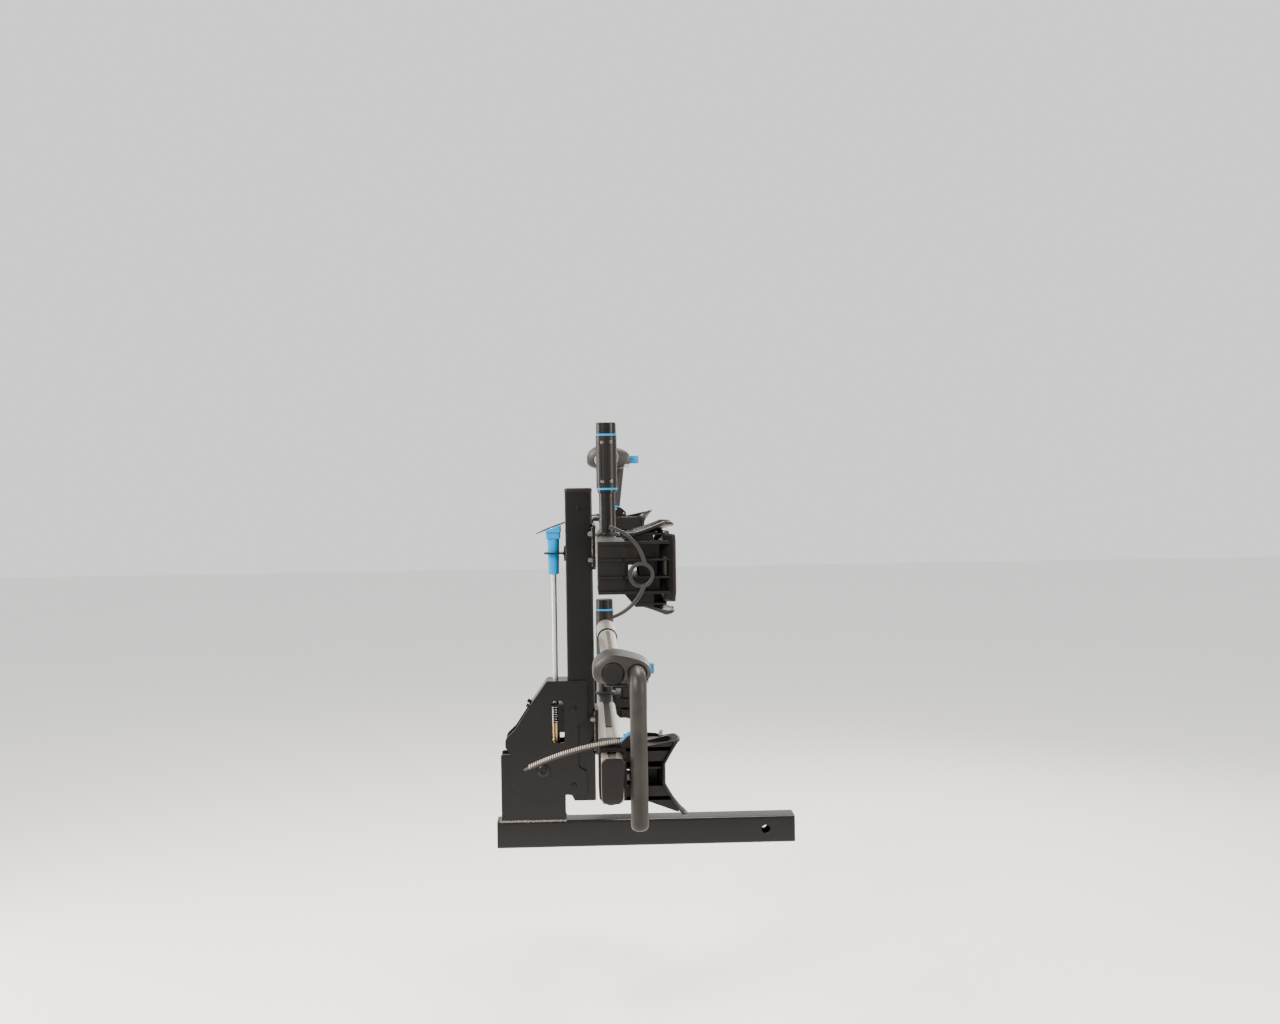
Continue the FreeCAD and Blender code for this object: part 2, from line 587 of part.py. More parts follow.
def tyre_strap(name, side):
    """Rubber strap with a finger ring, hooked over both flanks of the front cradle."""
    near, wide = size.cradle_y + 79.5, 8.0
    ring = Part.makeCylinder(19.0, wide, V(92, near, -12), V(0, 1, 0))
    ring = ring.cut(Part.makeCylinder(14.0, wide, V(92, near, -12), V(0, 1, 0)))
    shape = ring
    for first, middle, last in (((45, 61), (86, 38), (104, 0)), ((104, -24), (82, -53), (45, -71))):
        points = [V(x, near, z) for x, z in (first, middle, last)]
        spine = Part.Arc(*points).toShape().Curve
        centre, radius = spine.Center, spine.Radius
        outer = [centre + (point - centre) * ((radius + 2.5) / radius) for point in points]
        inner = [centre + (point - centre) * ((radius - 2.5) / radius) for point in points]
        edges = [Part.Arc(*outer).toShape(), Part.makeLine(outer[2], inner[2]),
                 Part.Arc(*reversed(inner)).toShape(), Part.makeLine(inner[0], outer[0])]
        shape = shape.fuse(Part.Face(Part.Wire(edges)).extrude(V(0, wide, 0)))
    shape = shape.cut(Part.makeCylinder(14.0, wide, V(92, near, -12), V(0, 1, 0)))
    set_shape(f"{name}_tyre_strap", shape.removeSplitter(), side, tray_value(name))


def arm_post(name, height, side):
    top = size.sleeve_top + size.ring_thick + size.axial_gap
    radius, shoulder, head = size.post_radius, size.shoulder_radius, size.post_head_radius
    foot = size.inner_height / 2
    profile = [(0, foot), (20.0, foot), (20.0, foot + 4.0, 1.0), (radius, foot + 5.0),
               (radius, size.shoulder_bottom), (shoulder, size.shoulder_bottom + 1.0),
               (shoulder, size.shoulder_top), (radius, size.shoulder_top), (radius, top), (head, top),
               (head, size.post_top, 1.5), (0, size.post_top)]
    body = turned(f"{name}_arm_post", profile, "Sizes.post_x", f"{side} * Sizes.post_y", height)
    node(body, f"{name}_arm_post")


# ---------------------------------------------------------------- wheel arms


def along_arm(side, distance):
    """Expression for the y of a point at a distance from the post along the folded arm."""
    return f"{side} * (Sizes.post_y - ({distance}))"


def arm_sleeve(name, height, side):
    inner = size.post_radius + size.running_gap
    bottom, top, thick = size.sleeve_bottom, size.sleeve_top, size.ring_thick
    spot = ("Sizes.post_x", f"{side} * Sizes.post_y", height)
    sleeve = turned(f"{name}_arm_sleeve", [(inner, bottom), (size.sleeve_radius, bottom),
                                           (size.sleeve_radius, top), (inner, top)], *spot)
    node(sleeve, f"{name}_arm_sleeve")
    rings = []
    for index, start in enumerate((bottom - thick, top)):
        profile = [(inner, start), (size.ring_radius, start), (size.ring_radius, start + thick),
                   (inner, start + thick)]
        rings.append(turned(f"{name}_ring_{index}", profile, *spot))
    group(f"{name}_sleeve_rings", rings)
    screws = []
    for z in (bottom + 11.0, top - 11.0):
        for x in (-7.5, 7.5):
            reach = math.sqrt(size.sleeve_radius ** 2 - (abs(x) + 4.0) ** 2) - 0.5
            head = rod(f"{name}_screw_{len(screws)}", "4", "5.5",
                       (f"Sizes.post_x + {x}", f"{side} * (Sizes.post_y + {reach})", f"{height} + {z}"),
                       "Y" if side > 0 else "-Y")
            barrel = rod(f"{name}_barrel_{len(screws)}", "Sizes.sleeve_radius", "20",
                         ("Sizes.post_x", f"{side} * Sizes.post_y", f"{height} + {z} - 10"))
            screws.append(cut(f"{name}_screw_head_{len(screws)}", head, [barrel]))
    group(f"{name}_sleeve_screws", screws)


def arm_tubes(name, height, side, drawn):
    arm_height = f"{height} + Sizes.arm_z"
    away = "-Y" if side > 0 else "Y"
    outer = rod(f"{name}_outer", "Sizes.outer_tube_radius", "Sizes.outer_tube_end - Sizes.outer_tube_start",
                ("Sizes.arm_x", along_arm(side, "Sizes.outer_tube_start"), arm_height), away)
    bore = rod(f"{name}_outer_bore", "Sizes.inner_tube_radius + Sizes.running_gap", "400",
               ("Sizes.arm_x", along_arm(side, "-50"), arm_height), away)
    barrel = rod(f"{name}_outer_saddle", "Sizes.sleeve_radius", "100",
                 ("Sizes.post_x", f"{side} * Sizes.post_y", f"{height} + Sizes.arm_z - 50"))
    node(cut(f"{name}_arm_outer_tube", outer, [bore, barrel]), f"{name}_arm_outer_tube")
    start = f"Sizes.inner_tube_start + {drawn}"
    end = f"Sizes.head_mid + Sizes.head_long / 2 - Sizes.plug_thick"
    inner = rod(f"{name}_inner", "Sizes.inner_tube_radius", f"{end} - Sizes.inner_tube_start",
                ("Sizes.arm_x", along_arm(side, start), arm_height), away)
    hollow = rod(f"{name}_inner_hollow", "Sizes.inner_tube_radius - Sizes.tube_wall", "900",
                 ("Sizes.arm_x", along_arm(side, "-50"), arm_height), away)
    slot_low = f"Sizes.post_y - Sizes.head_mid + 60 - {drawn}"
    slot_start = slot_low if side > 0 else f"-({slot_low}) - 360"
    slot = box(f"{name}_inner_slot", ("Sizes.tube_slot_wide", "360", "10"),
               ("Sizes.arm_x - Sizes.tube_slot_wide / 2", slot_start,
                f"{arm_height} + Sizes.inner_tube_radius - 6"))
    node(cut(f"{name}_arm_inner_tube", inner, [hollow, slot]), f"{name}_arm_inner_tube")
    radius = size.inner_tube_radius
    plug = turned(f"{name}_arm_end_plug", [(0, 0), (radius, 0), (radius, size.plug_thick + 2.5, 1.5),
                                           (0, size.plug_thick + 2.5)],
                  "Sizes.arm_x", along_arm(side, f"{end} + {drawn}"), arm_height, away)
    node(plug, f"{name}_arm_end_plug")


def arm_head(name, height, side, drawn):
    """Rounded housing on the inner tube, with the hook's socket and the lever's slot."""
    arm_height = f"{height} + Sizes.arm_z"
    away = "-Y" if side > 0 else "Y"
    middle = f"Sizes.head_mid + {drawn}"
    low_y = f"{along_arm(side, middle)} - Sizes.head_long / 2"
    shell = box(f"{name}_head_block", ("Sizes.head_wide", "Sizes.head_long", "Sizes.head_tall"),
                ("Sizes.head_x - Sizes.head_wide / 2", low_y, f"{arm_height} - Sizes.head_tall / 2"))
    shell = rounded(f"{name}_head_round", shell, size.head_round, lambda edge: True)
    tube = rod(f"{name}_head_bore", "Sizes.inner_tube_radius", "200",
               ("Sizes.arm_x", along_arm(side, f"{middle} - 100"), arm_height), away)
    socket = rod(f"{name}_head_socket", "Sizes.hook_radius + Sizes.socket_gap", "60",
                 ("Sizes.hook_x", along_arm(side, f"Sizes.hook_start + {drawn}"), arm_height), away)
    slot_mid = along_arm(side, f"Sizes.lever_axis_y - 3 + {drawn}")
    slot = box(f"{name}_head_slot", ("40", "36", "Sizes.lever_tall + 1"),
               ("100", f"{slot_mid} - 18", f"{arm_height} - Sizes.lever_tall / 2 - 0.5"))
    bored = cut(f"{name}_head_bored", shell, [tube, socket, slot])
    axis_y = along_arm(side, f"Sizes.lever_axis_y + {drawn}")
    pin = rod(f"{name}_lever_pin", "Sizes.lever_pin", "Sizes.lever_tall + 3",
              ("Sizes.lever_axis_x", axis_y, f"{arm_height} - Sizes.lever_tall / 2 - 1.5"))
    node(joined(f"{name}_arm_head", [bored, pin]), f"{name}_arm_head")
    tab = box(f"{name}_lever_tab", ("Sizes.lever_tip - Sizes.lever_axis_x", "Sizes.lever_wide",
                                    "Sizes.lever_tall"),
              ("Sizes.lever_axis_x", f"{axis_y} - Sizes.lever_wide / 2",
               f"{arm_height} - Sizes.lever_tall / 2"))
    root = rod(f"{name}_lever_root", "Sizes.lever_wide / 2", "Sizes.lever_tall",
               ("Sizes.lever_axis_x", axis_y, f"{arm_height} - Sizes.lever_tall / 2"))
    hole = rod(f"{name}_lever_hole", "Sizes.lever_pin + Sizes.running_gap", "40",
               ("Sizes.lever_axis_x", axis_y, f"{arm_height} - 20"))
    node(cut(f"{name}_head_lever", joined(f"{name}_lever_body", [tab, root]), [hole]), f"{name}_head_lever")


def wheel_hook(name, height, side, drawn, lean):
    """Rubber covered hook: out of the head along the arm, then down in front of the wheel."""
    turn = FreeCAD.Rotation(V(0, 1, 0), lean)
    body = new_body(f"{name}_wheel_hook", "Sizes.hook_x", f"{side} * (Sizes.post_y - {drawn})",
                    f"{height} + Sizes.arm_z", turn)
    node(body, f"{name}_wheel_hook")
    bend, leg = size.hook_bend, size.hook_leg
    start = -side * size.hook_start
    turn_start, turn_end = -side * (leg - bend), -side * leg
    bend_mid = -side * (leg - bend + bend * math.sin(math.pi / 4))
    foot = -(size.hook_drop - size.hook_radius)
    path = new_sketch(body, "YZ_Plane")
    path.addGeometry(Part.LineSegment(V(start, 0), V(turn_start, 0)), False)
    path.addGeometry(Part.Arc(V(turn_start, 0), V(bend_mid, -bend + bend * math.cos(math.pi / 4)),
                              V(turn_end, -bend)), False)
    path.addGeometry(Part.LineSegment(V(turn_end, -bend), V(turn_end, foot)), False)
    section = new_sketch(body, "XZ_Plane", f"{-start}")
    circle(section, 0, 0, "hook_radius")
    pipe = body.newObject("PartDesign::AdditivePipe", f"{name}_hook_pipe")
    pipe.Profile = section
    pipe.Spine = path
    tip = new_sketch(body, "XZ_Plane", f"{-turn_end}")
    radius = size.hook_radius
    tip.addGeometry(Part.Arc(V(radius, foot), V(radius * math.sin(math.pi / 4),
                                                foot - radius * math.cos(math.pi / 4)),
                             V(0, foot - radius)), False)
    tip.addGeometry(Part.LineSegment(V(0, foot - radius), V(0, foot + 2.0)), False)
    tip.addGeometry(Part.LineSegment(V(0, foot + 2.0), V(radius, foot + 2.0)), False)
    tip.addGeometry(Part.LineSegment(V(radius, foot + 2.0), V(radius, foot)), False)
    dome = body.newObject("PartDesign::Revolution", f"{name}_hook_tip")
    dome.Profile = tip
    dome.ReferenceAxis = (tip, ["V_Axis"])
    dome.Angle = 360


# ---------------------------------------------------------------- rear wheel holders


def rear_holder(name, side):
    """Yoke round the silver beam with the trough on it."""
    half_x = size.beam_depth / 2 + size.yoke_gap
    half_z = size.beam_height / 2 + size.yoke_gap
    wall_z = half_z + size.yoke_wall
    start, end = size.yoke_inner_y, size.holder_y + size.holder_half
    shape = trough(size.holder_y, size.holder_half, size.holder_wing_x)
    pieces = [block((size.yoke_rear, size.beam_x + half_x + 6.0), (start, end), (-wall_z, wall_z)),
              block((70.0, size.floor_x - 1.0), (start - 30.0, end), (-26.0, 26.0))]
    for low in (half_z, -wall_z):
        pieces.append(block((60.0, size.arm_reach_x - 6.0), (start, end), (low, low + size.yoke_wall)))
    shape = shape.multiFuse(pieces)
    shape = shape.cut(block((size.beam_x - half_x, size.beam_x + half_x), (0.0, 600.0), (-half_z, half_z)))
    shape = shape.cut(block((size.beam_x, size.yoke_slot_x), (0.0, 600.0), (-29.0, 6.0)))
    slope = (size.holder_wing_x - size.floor_x) / (size.wing_half - size.floor_half)
    far_z = 107.0
    far_x = size.floor_x + slope * (far_z - size.floor_half)
    channel = [V(far_x, 0, far_z), V(size.floor_x, 0, size.floor_half),
               V(size.floor_x, 0, -size.floor_half), V(far_x, 0, -far_z)]
    mouth = Part.Face(Part.makePolygon(channel + channel[:1])).extrude(V(0, 600, 0))
    shape = shape.cut(mouth.common(block((size.floor_x + 8.0, 300), (start, end), (-150, 150))))
    set_shape(f"{name}_rear_holder", shape.removeSplitter(), -side, tray_value(name))


def holder_knob(name, height, side):
    wall = size.beam_height / 2 + size.yoke_gap + size.yoke_wall
    radius, thick = size.knob_radius, size.knob_thick
    knob = turned(f"{name}_holder_knob", [(0, 0), (radius, 0), (radius, thick, 1.5), (0, thick)],
                  "Sizes.knob_x", f"{-side} * Sizes.strap_y", f"{height} - {wall}", "-Z")
    node(knob, f"{name}_holder_knob")


def strap_and_buckle(name, side):
    """Ladder strap with its tail towards the mast, in a buckle on top of the holder."""
    half = size.strap_wide / 2
    low, high = size.strap_y - half, size.strap_y + half
    band = arc_band((100.0, 50.0), (31.0, 44.0), (-84.0, 9.5), 3.0, low)
    tail = Part.Face(Part.makePolygon([V(-84, low, 9.5), V(-84, low, 12.5), V(-95, low, 7.5),
                                       V(-95, low, 6.0), V(-84, low, 9.5)]))
    strap = band.extrude(V(0, high - low, 0)).fuse(tail.extrude(V(0, high - low, 0)))
    set_shape(f"{name}_ladder_strap", strap.removeSplitter(), -side, tray_value(name))
    rear, front, top, wall = size.buckle_rear, size.buckle_front, size.buckle_top, size.buckle_wall
    floor = size.beam_height / 2 + size.yoke_gap + size.yoke_wall
    gap = 0.4
    outer_low, outer_high = low - gap - wall, high + gap + wall
    buckle = block((rear, front), (outer_low, outer_high), (floor, top))
    buckle = buckle.cut(block((rear - 1, front - 3.0), (low - gap, high + gap), (floor + 4.0, top + 1)))
    mouth = block((front - 4.0, front + 1), (low - gap, high + gap), (floor + 4.0, floor + 14.0))
    buckle = buckle.cut(mouth)
    axis = V(size.buckle_pin_x, outer_low, size.buckle_pin_z)
    pin = Part.makeCylinder(size.lever_pin, outer_high - outer_low, axis, V(0, 1, 0))
    set_shape(f"{name}_strap_buckle", buckle.fuse(pin).removeSplitter(), -side, tray_value(name))
    wide_low, wide_high = low + 0.4, high - 0.4
    root = Part.makeCylinder(3.8, wide_high - wide_low, V(axis.x, wide_low, axis.z), V(0, 1, 0))
    thumb = Part.makePolygon([V(axis.x - 1, wide_low, axis.z - 3.4), V(axis.x - 1, wide_low, axis.z + 3.6),
                              V(70, wide_low, 66), V(60, wide_low, 63), V(60, wide_low, 59.5),
                              V(68, wide_low, 60), V(axis.x - 1, wide_low, axis.z - 3.4)])
    lever = root.fuse(Part.Face(thumb).extrude(V(0, wide_high - wide_low, 0)))
    lever = lever.cut(Part.makeCylinder(size.lever_pin + size.running_gap, 60,
                                        V(axis.x, outer_low - 5, axis.z), V(0, 1, 0)))
    set_shape(f"{name}_buckle_lever", lever.removeSplitter(), -side, tray_value(name))


# ---------------------------------------------------------------- assembly

hitch_bar()
base_channel()
lock_sector()
pivot()
mast_tube()
mast_cap()
bracket_plate(-1, "right")
bracket_plate(1, "left")
bracket_webs()
bracket_bolts()
pivot_bushes()
guide_plate()
release()

caps, brackets, studs = [], [], []
for tray, height, front_side, drawn_out, hook_lean in TRAYS:
    beams(tray, height, front_side)
    caps.append(end_cap(tray, height, front_side))
    brackets.append(tray_bracket(tray, height))
    studs.extend(tray_studs(tray, height))
    front_cradle(tray, front_side)
    tyre_strap(tray, front_side)
    arm_post(tray, height, front_side)
    arm_sleeve(tray, height, front_side)
    arm_tubes(tray, height, front_side, drawn_out)
    arm_head(tray, height, front_side, drawn_out)
    wheel_hook(tray, height, front_side, drawn_out, hook_lean)
    rear_holder(tray, front_side)
    holder_knob(tray, height, front_side)
    strap_and_buckle(tray, front_side)
group("beam_end_caps", caps)
group("tray_brackets", brackets)
group("tray_studs", studs)

doc.recompute()

# ---------------------------------------------------------------- checks and export

for obj in doc.Objects:
    if "Invalid" in obj.State or "Error" in obj.State:
        raise SystemExit(f"{obj.Label} failed: {obj.State}")
for sub_part in nodes:
    shape = sub_part.Shape
    if shape.isNull() or not shape.isValid() or not shape.Solids:
        raise SystemExit(f"{sub_part.Label} has no valid solid")

os.makedirs("parts", exist_ok=True)
for sub_part in nodes:
    sub_part.Shape.exportStep(f"parts/{sub_part.Label}.step")
    bounds = sub_part.Shape.BoundBox
    print(f"{sub_part.Label:26s} solids {len(sub_part.Shape.Solids)} volume {sub_part.Shape.Volume:11.1f} "
          f"x {bounds.XMin:7.1f} {bounds.XMax:7.1f} y {bounds.YMin:7.1f} {bounds.YMax:7.1f} "
          f"z {bounds.ZMin:7.1f} {bounds.ZMax:7.1f}")
print(len(nodes), "sub-parts")
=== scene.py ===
"""Looks of a folding hitch mounted bike rack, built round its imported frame.

Sub-assemblies are drawn in millimetres in their own coordinates and put in place from the frame's boxes.
"""

import json
import logging
import math
from dataclasses import dataclass, field
from enum import Enum
from typing import Optional, Sequence, Union

import bmesh
import bpy
from mathutils import Matrix, Vector

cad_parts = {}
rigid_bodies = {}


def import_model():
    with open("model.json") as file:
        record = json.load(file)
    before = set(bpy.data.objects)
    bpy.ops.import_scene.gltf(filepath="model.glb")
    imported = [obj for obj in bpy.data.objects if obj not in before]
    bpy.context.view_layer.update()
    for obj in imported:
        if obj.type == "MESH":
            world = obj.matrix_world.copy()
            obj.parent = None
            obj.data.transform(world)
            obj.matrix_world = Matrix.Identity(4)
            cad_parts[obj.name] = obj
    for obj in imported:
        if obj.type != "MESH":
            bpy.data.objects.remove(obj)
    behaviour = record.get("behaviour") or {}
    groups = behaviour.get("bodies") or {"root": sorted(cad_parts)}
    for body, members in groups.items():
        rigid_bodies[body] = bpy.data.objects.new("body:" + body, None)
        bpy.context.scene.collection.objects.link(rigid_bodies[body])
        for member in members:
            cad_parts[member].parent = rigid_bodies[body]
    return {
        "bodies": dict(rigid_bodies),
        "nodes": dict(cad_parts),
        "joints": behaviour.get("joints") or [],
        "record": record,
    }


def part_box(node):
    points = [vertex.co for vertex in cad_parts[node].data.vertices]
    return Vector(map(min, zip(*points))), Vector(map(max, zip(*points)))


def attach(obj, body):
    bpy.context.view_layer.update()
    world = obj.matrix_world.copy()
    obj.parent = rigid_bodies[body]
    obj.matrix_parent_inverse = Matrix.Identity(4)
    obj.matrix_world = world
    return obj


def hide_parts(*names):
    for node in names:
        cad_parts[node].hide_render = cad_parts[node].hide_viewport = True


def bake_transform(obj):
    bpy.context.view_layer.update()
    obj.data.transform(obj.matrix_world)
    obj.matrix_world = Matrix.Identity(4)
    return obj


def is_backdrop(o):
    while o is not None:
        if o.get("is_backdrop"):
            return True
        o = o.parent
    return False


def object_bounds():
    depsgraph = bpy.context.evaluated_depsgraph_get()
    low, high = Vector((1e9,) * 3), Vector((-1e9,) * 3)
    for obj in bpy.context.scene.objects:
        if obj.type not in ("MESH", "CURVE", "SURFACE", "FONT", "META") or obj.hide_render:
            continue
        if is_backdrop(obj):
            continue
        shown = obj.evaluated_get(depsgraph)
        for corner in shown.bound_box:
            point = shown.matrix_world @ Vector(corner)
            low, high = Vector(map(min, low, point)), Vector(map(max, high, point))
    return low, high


MM = 0.001
CIRCLE_STEPS = 48
SHARP_ANGLE = math.radians(35.0)
LOG = logging.getLogger("bike_rack")

# width of the edge rounding of the sheet metal and tubes, in millimetres
ROUNDED = {"hitch_bar": 0.8, "base_channel": 1.2, "mast_tube": 0.8, "bracket_plate_right": 1.9,
           "bracket_plate_left": 1.9, "guide_plate": 0.7, "tray_brackets": 1.2, "lower_rear_beam": 0.6,
           "upper_rear_beam": 0.6}

Colour = tuple[float, float, float]
Flat = tuple[float, float]
Point = Union[Vector, tuple[float, float, float]]


class Slot(Enum):
    """The frame's material slots."""

    POWDER = "powder_black"
    PLASTIC = "plastic_black"
    RUBBER = "rubber_grey"
    SILVER = "silver_anodised"
    ZINC = "zinc_steel"
    BRASS = "brass"
    BLUE = "accent_blue"


class Along(Enum):
    """The axis that a prism or a turned shape runs along."""

    X = 0
    Y = 1
    Z = 2


# ---------------------------------------------------------------- shader maths and finishes


class Term:
    """A shader value for Python expressions: each operator adds its Math node."""

    def __init__(self, paint: "Paint", socket: bpy.types.NodeSocket) -> None:
        """Wraps an output socket of one material."""
        self.paint = paint
        self.socket = socket

    def _math(self, operation: str, *terms: Union["Term", float]) -> "Term":
        """Adds one Math node."""
        return self.paint.node("ShaderNodeMath", {"operation": operation}, dict(enumerate(terms)))

    def __add__(self, other: Union["Term", float]) -> "Term":
        """Sum."""
        return self._math("ADD", self, other)

    def __radd__(self, other: float) -> "Term":
        """Reflected sum."""
        return self._math("ADD", other, self)

    def __sub__(self, other: Union["Term", float]) -> "Term":
        """Difference."""
        return self._math("SUBTRACT", self, other)

    def __rsub__(self, other: float) -> "Term":
        """Reflected difference."""
        return self._math("SUBTRACT", other, self)

    def __mul__(self, other: Union["Term", float]) -> "Term":
        """Product."""
        return self._math("MULTIPLY", self, other)

    def __rmul__(self, other: float) -> "Term":
        """Reflected product."""
        return self._math("MULTIPLY", other, self)

    def step(self, low: float, high: float) -> "Term":
        """A smooth 0 to 1 mask as the value goes from low to high."""
        return self.paint.node("ShaderNodeMapRange", {"interpolation_type": "SMOOTHSTEP"},
                               {"Value": self, "From Min": low, "From Max": high})


class Paint:
    """Builds the nodes of one material."""

    def __init__(self, name: str) -> None:
        """Starts an empty material."""
        self.material = bpy.data.materials.new(name)
        self.material.use_nodes = True
        self.tree = self.material.node_tree
        self.tree.nodes.clear()

    def node(self, kind: str, settings: Optional[dict] = None, inputs: Optional[dict] = None,
             output: Union[int, str] = 0) -> Optional[Term]:
        """Adds a node.

        Args:
            kind: the node's type.
            settings: its properties, which are set first.
            inputs: values or terms by socket name or number.
            output: the socket to return.

        Returns:
            The output as a term, or None for a node with no output.
        """
        made = self.tree.nodes.new(kind)
        for key, value in (settings or {}).items():
            setattr(made, key, value)
        for key, value in (inputs or {}).items():
            if isinstance(value, Term):
                self.tree.links.new(value.socket, made.inputs[key])
            else:
                made.inputs[key].default_value = value
        return Term(self, made.outputs[output]) if made.outputs else None

    def coordinates(self, stretch: Colour = (1.0, 1.0, 1.0), output: str = "Object") -> Term:
        """Object coordinates, stretched for a pattern with a direction."""
        place = self.node("ShaderNodeTexCoord", output=output)
        return self.node("ShaderNodeMapping", {}, {"Vector": place, "Scale": stretch})

    def noise(self, scale: float, detail: float = 3.0, stretch: Colour = (1.0, 1.0, 1.0)) -> Term:
        """Fractal noise from 0 to 1 with features of about 1/scale metres."""
        return self.node("ShaderNodeTexNoise", {"noise_dimensions": "3D"},
                         {"Vector": self.coordinates(stretch), "Scale": scale, "Detail": detail})

    def facing_up(self) -> Term:
        """1 on faces whose normal points up in the object's own coordinates, 0 on walls."""
        normal = self.node("ShaderNodeTexCoord", output="Normal")
        parts = self.node("ShaderNodeSeparateXYZ", {}, {0: normal}, "Z")
        return parts.step(0.35, 0.95)

    def mix(self, factor: Union[Term, float], low: Union[Term, Colour], high: Union[Term, Colour]) -> Term:
        """A blend of two colours."""
        ends = [end if isinstance(end, Term) else (*end, 1.0) for end in (low, high)]
        return self.node("ShaderNodeMix", {"data_type": "RGBA"}, {0: factor, 6: ends[0], 7: ends[1]}, 2)

    def bump(self, height: Term, depth: float, under: Optional[Term] = None) -> Term:
        """A bumped normal; depth in millimetres."""
        inputs = {"Height": height, "Strength": 1.0, "Distance": depth * MM}
        if under is not None:
            inputs["Normal"] = under
        return self.node("ShaderNodeBump", {}, inputs)

    def surface(self, **sockets: Union[Term, float, Colour]) -> bpy.types.Material:
        """Ends the material in a Principled surface; an underscore stands for a space."""
        named = {key.replace("_", " "): value for key, value in sockets.items()}
        shader = self.node("ShaderNodeBsdfPrincipled", {}, named)
        self.node("ShaderNodeOutputMaterial", {}, {"Surface": shader})
        return self.material


@dataclass(frozen=True)
class PowderCoat:
    """Baked powder paint: an orange-peel skin with faint mottling, and a paler tone on top faces that is
    partly a dusting and partly painted top light.
    """

    name: str = "powder_coat"
    deep: Colour = (0.0022, 0.0018, 0.0016)
    light: Colour = (0.0046, 0.0037, 0.0032)
    # paler tone of upward faces: partly a dusting, partly painted light from above
    dust_and_top_light: Colour = (0.030, 0.024, 0.020)
    roughness: float = 0.28
    peel: float = 0.009
    gloss: float = 0.24

    def build(self) -> bpy.types.Material:
        """Makes the material."""
        paint = Paint(self.name)
        mottle = paint.noise(22.0, 4.0)
        # mask of upward faces: a dusting there and painted top light, also a little rougher
        dust_and_top_light_mask = paint.facing_up() * paint.noise(60.0, 6.0).step(0.35, 0.75) * 0.35
        colour = paint.mix(dust_and_top_light_mask, paint.mix(mottle, self.deep, self.light), self.dust_and_top_light)
        rub = paint.noise(240.0, 5.0).step(0.45, 0.7)
        peel = paint.bump(paint.noise(780.0, 2.0), self.peel)
        return paint.surface(Base_Color=colour, Roughness=self.roughness + 0.1 * rub + 0.12 * dust_and_top_light_mask,
                             Normal=paint.bump(paint.noise(60.0, 1.0), 0.02, peel),
                             Specular_IOR_Level=self.gloss)


@dataclass(frozen=True)
class MouldedPlastic:
    """Glass filled nylon with a spark-eroded grain."""

    name: str = "moulded_nylon"
    deep: Colour = (0.0040, 0.0031, 0.0026)
    light: Colour = (0.0090, 0.0070, 0.0058)
    roughness: float = 0.30
    grain: float = 0.010
    gloss: float = 0.22

    def build(self) -> bpy.types.Material:
        """Makes the material."""
        paint = Paint(self.name)
        flow = paint.noise(14.0, 5.0, (1.0, 0.4, 1.0))
        grain = paint.noise(1900.0, 2.0)
        scuff = paint.noise(420.0, 6.0, (1.0, 0.25, 1.0)).step(0.62, 0.78)
        return paint.surface(Base_Color=paint.mix(flow, self.deep, self.light),
                             Roughness=self.roughness + 0.12 * grain + 0.08 * scuff,
                             Normal=paint.bump(grain, self.grain, paint.bump(flow, 0.12)),
                             Specular_IOR_Level=self.gloss)


@dataclass(frozen=True)
class Rubber:
    """Matt moulded rubber with a faint bloom."""

    name: str = "rubber"
    deep: Colour = (0.0085, 0.0067, 0.0057)
    bloom: Colour = (0.0170, 0.0138, 0.0118)
    roughness: float = 0.44
    gloss: float = 0.34

    def build(self) -> bpy.types.Material:
        """Makes the material."""
        paint = Paint(self.name)
        cloud = paint.noise(32.0, 5.0).step(0.3, 0.75)
        pores = paint.noise(1300.0, 3.0)
        return paint.surface(Base_Color=paint.mix(cloud, self.deep, self.bloom),
                             Roughness=self.roughness + 0.14 * cloud,
                             Normal=paint.bump(pores, 0.022), Specular_IOR_Level=self.gloss)


@dataclass(frozen=True)
class Anodised:
    """Satin anodised aluminium with drawing lines along the tube."""

    name: str = "anodised_champagne"
    pale: Colour = (0.50, 0.455, 0.405)
    deep: Colour = (0.36, 0.322, 0.282)
    roughness: float = 0.33

    def build(self) -> bpy.types.Material:
        """Makes the material."""
        paint = Paint(self.name)
        lines = paint.noise(9.0, 4.0, (140.0, 0.9, 140.0))
        cloud = paint.noise(18.0, 3.0)
        scratch = paint.noise(60.0, 2.0, (22.0, 1.0, 22.0)).step(0.66, 0.70)
        return paint.surface(Base_Color=paint.mix(lines * 0.6 + cloud * 0.4, self.deep, self.pale),
                             Metallic=0.92, Roughness=self.roughness + 0.10 * lines + 0.12 * scratch,
                             Normal=paint.bump(lines, 0.012))


@dataclass(frozen=True)
class PlatedSteel:
    """Zinc plated or polished steel, slightly clouded."""

    name: str = "zinc_plate"
    pale: Colour = (0.78, 0.76, 0.72)
    deep: Colour = (0.52, 0.51, 0.50)
    roughness: float = 0.24

    def build(self) -> bpy.types.Material:
        """Makes the material."""
        paint = Paint(self.name)
        cloud = paint.noise(180.0, 5.0)
        return paint.surface(Base_Color=paint.mix(cloud, self.deep, self.pale), Metallic=1.0,
                             Roughness=self.roughness + 0.18 * cloud, Normal=paint.bump(cloud, 0.01))


@dataclass(frozen=True)
class TurnedBrass:
    """Turned brass with fine tool marks round its axis."""

    name: str = "turned_brass"
    pale: Colour = (0.70, 0.53, 0.25)
    deep: Colour = (0.46, 0.33, 0.14)

    def build(self) -> bpy.types.Material:
        """Makes the material."""
        paint = Paint(self.name)
        marks = paint.noise(12.0, 2.0, (1.0, 1.0, 260.0))
        return paint.surface(Base_Color=paint.mix(marks, self.deep, self.pale), Metallic=1.0,
                             Roughness=0.24 + 0.16 * marks, Normal=paint.bump(marks, 0.01))


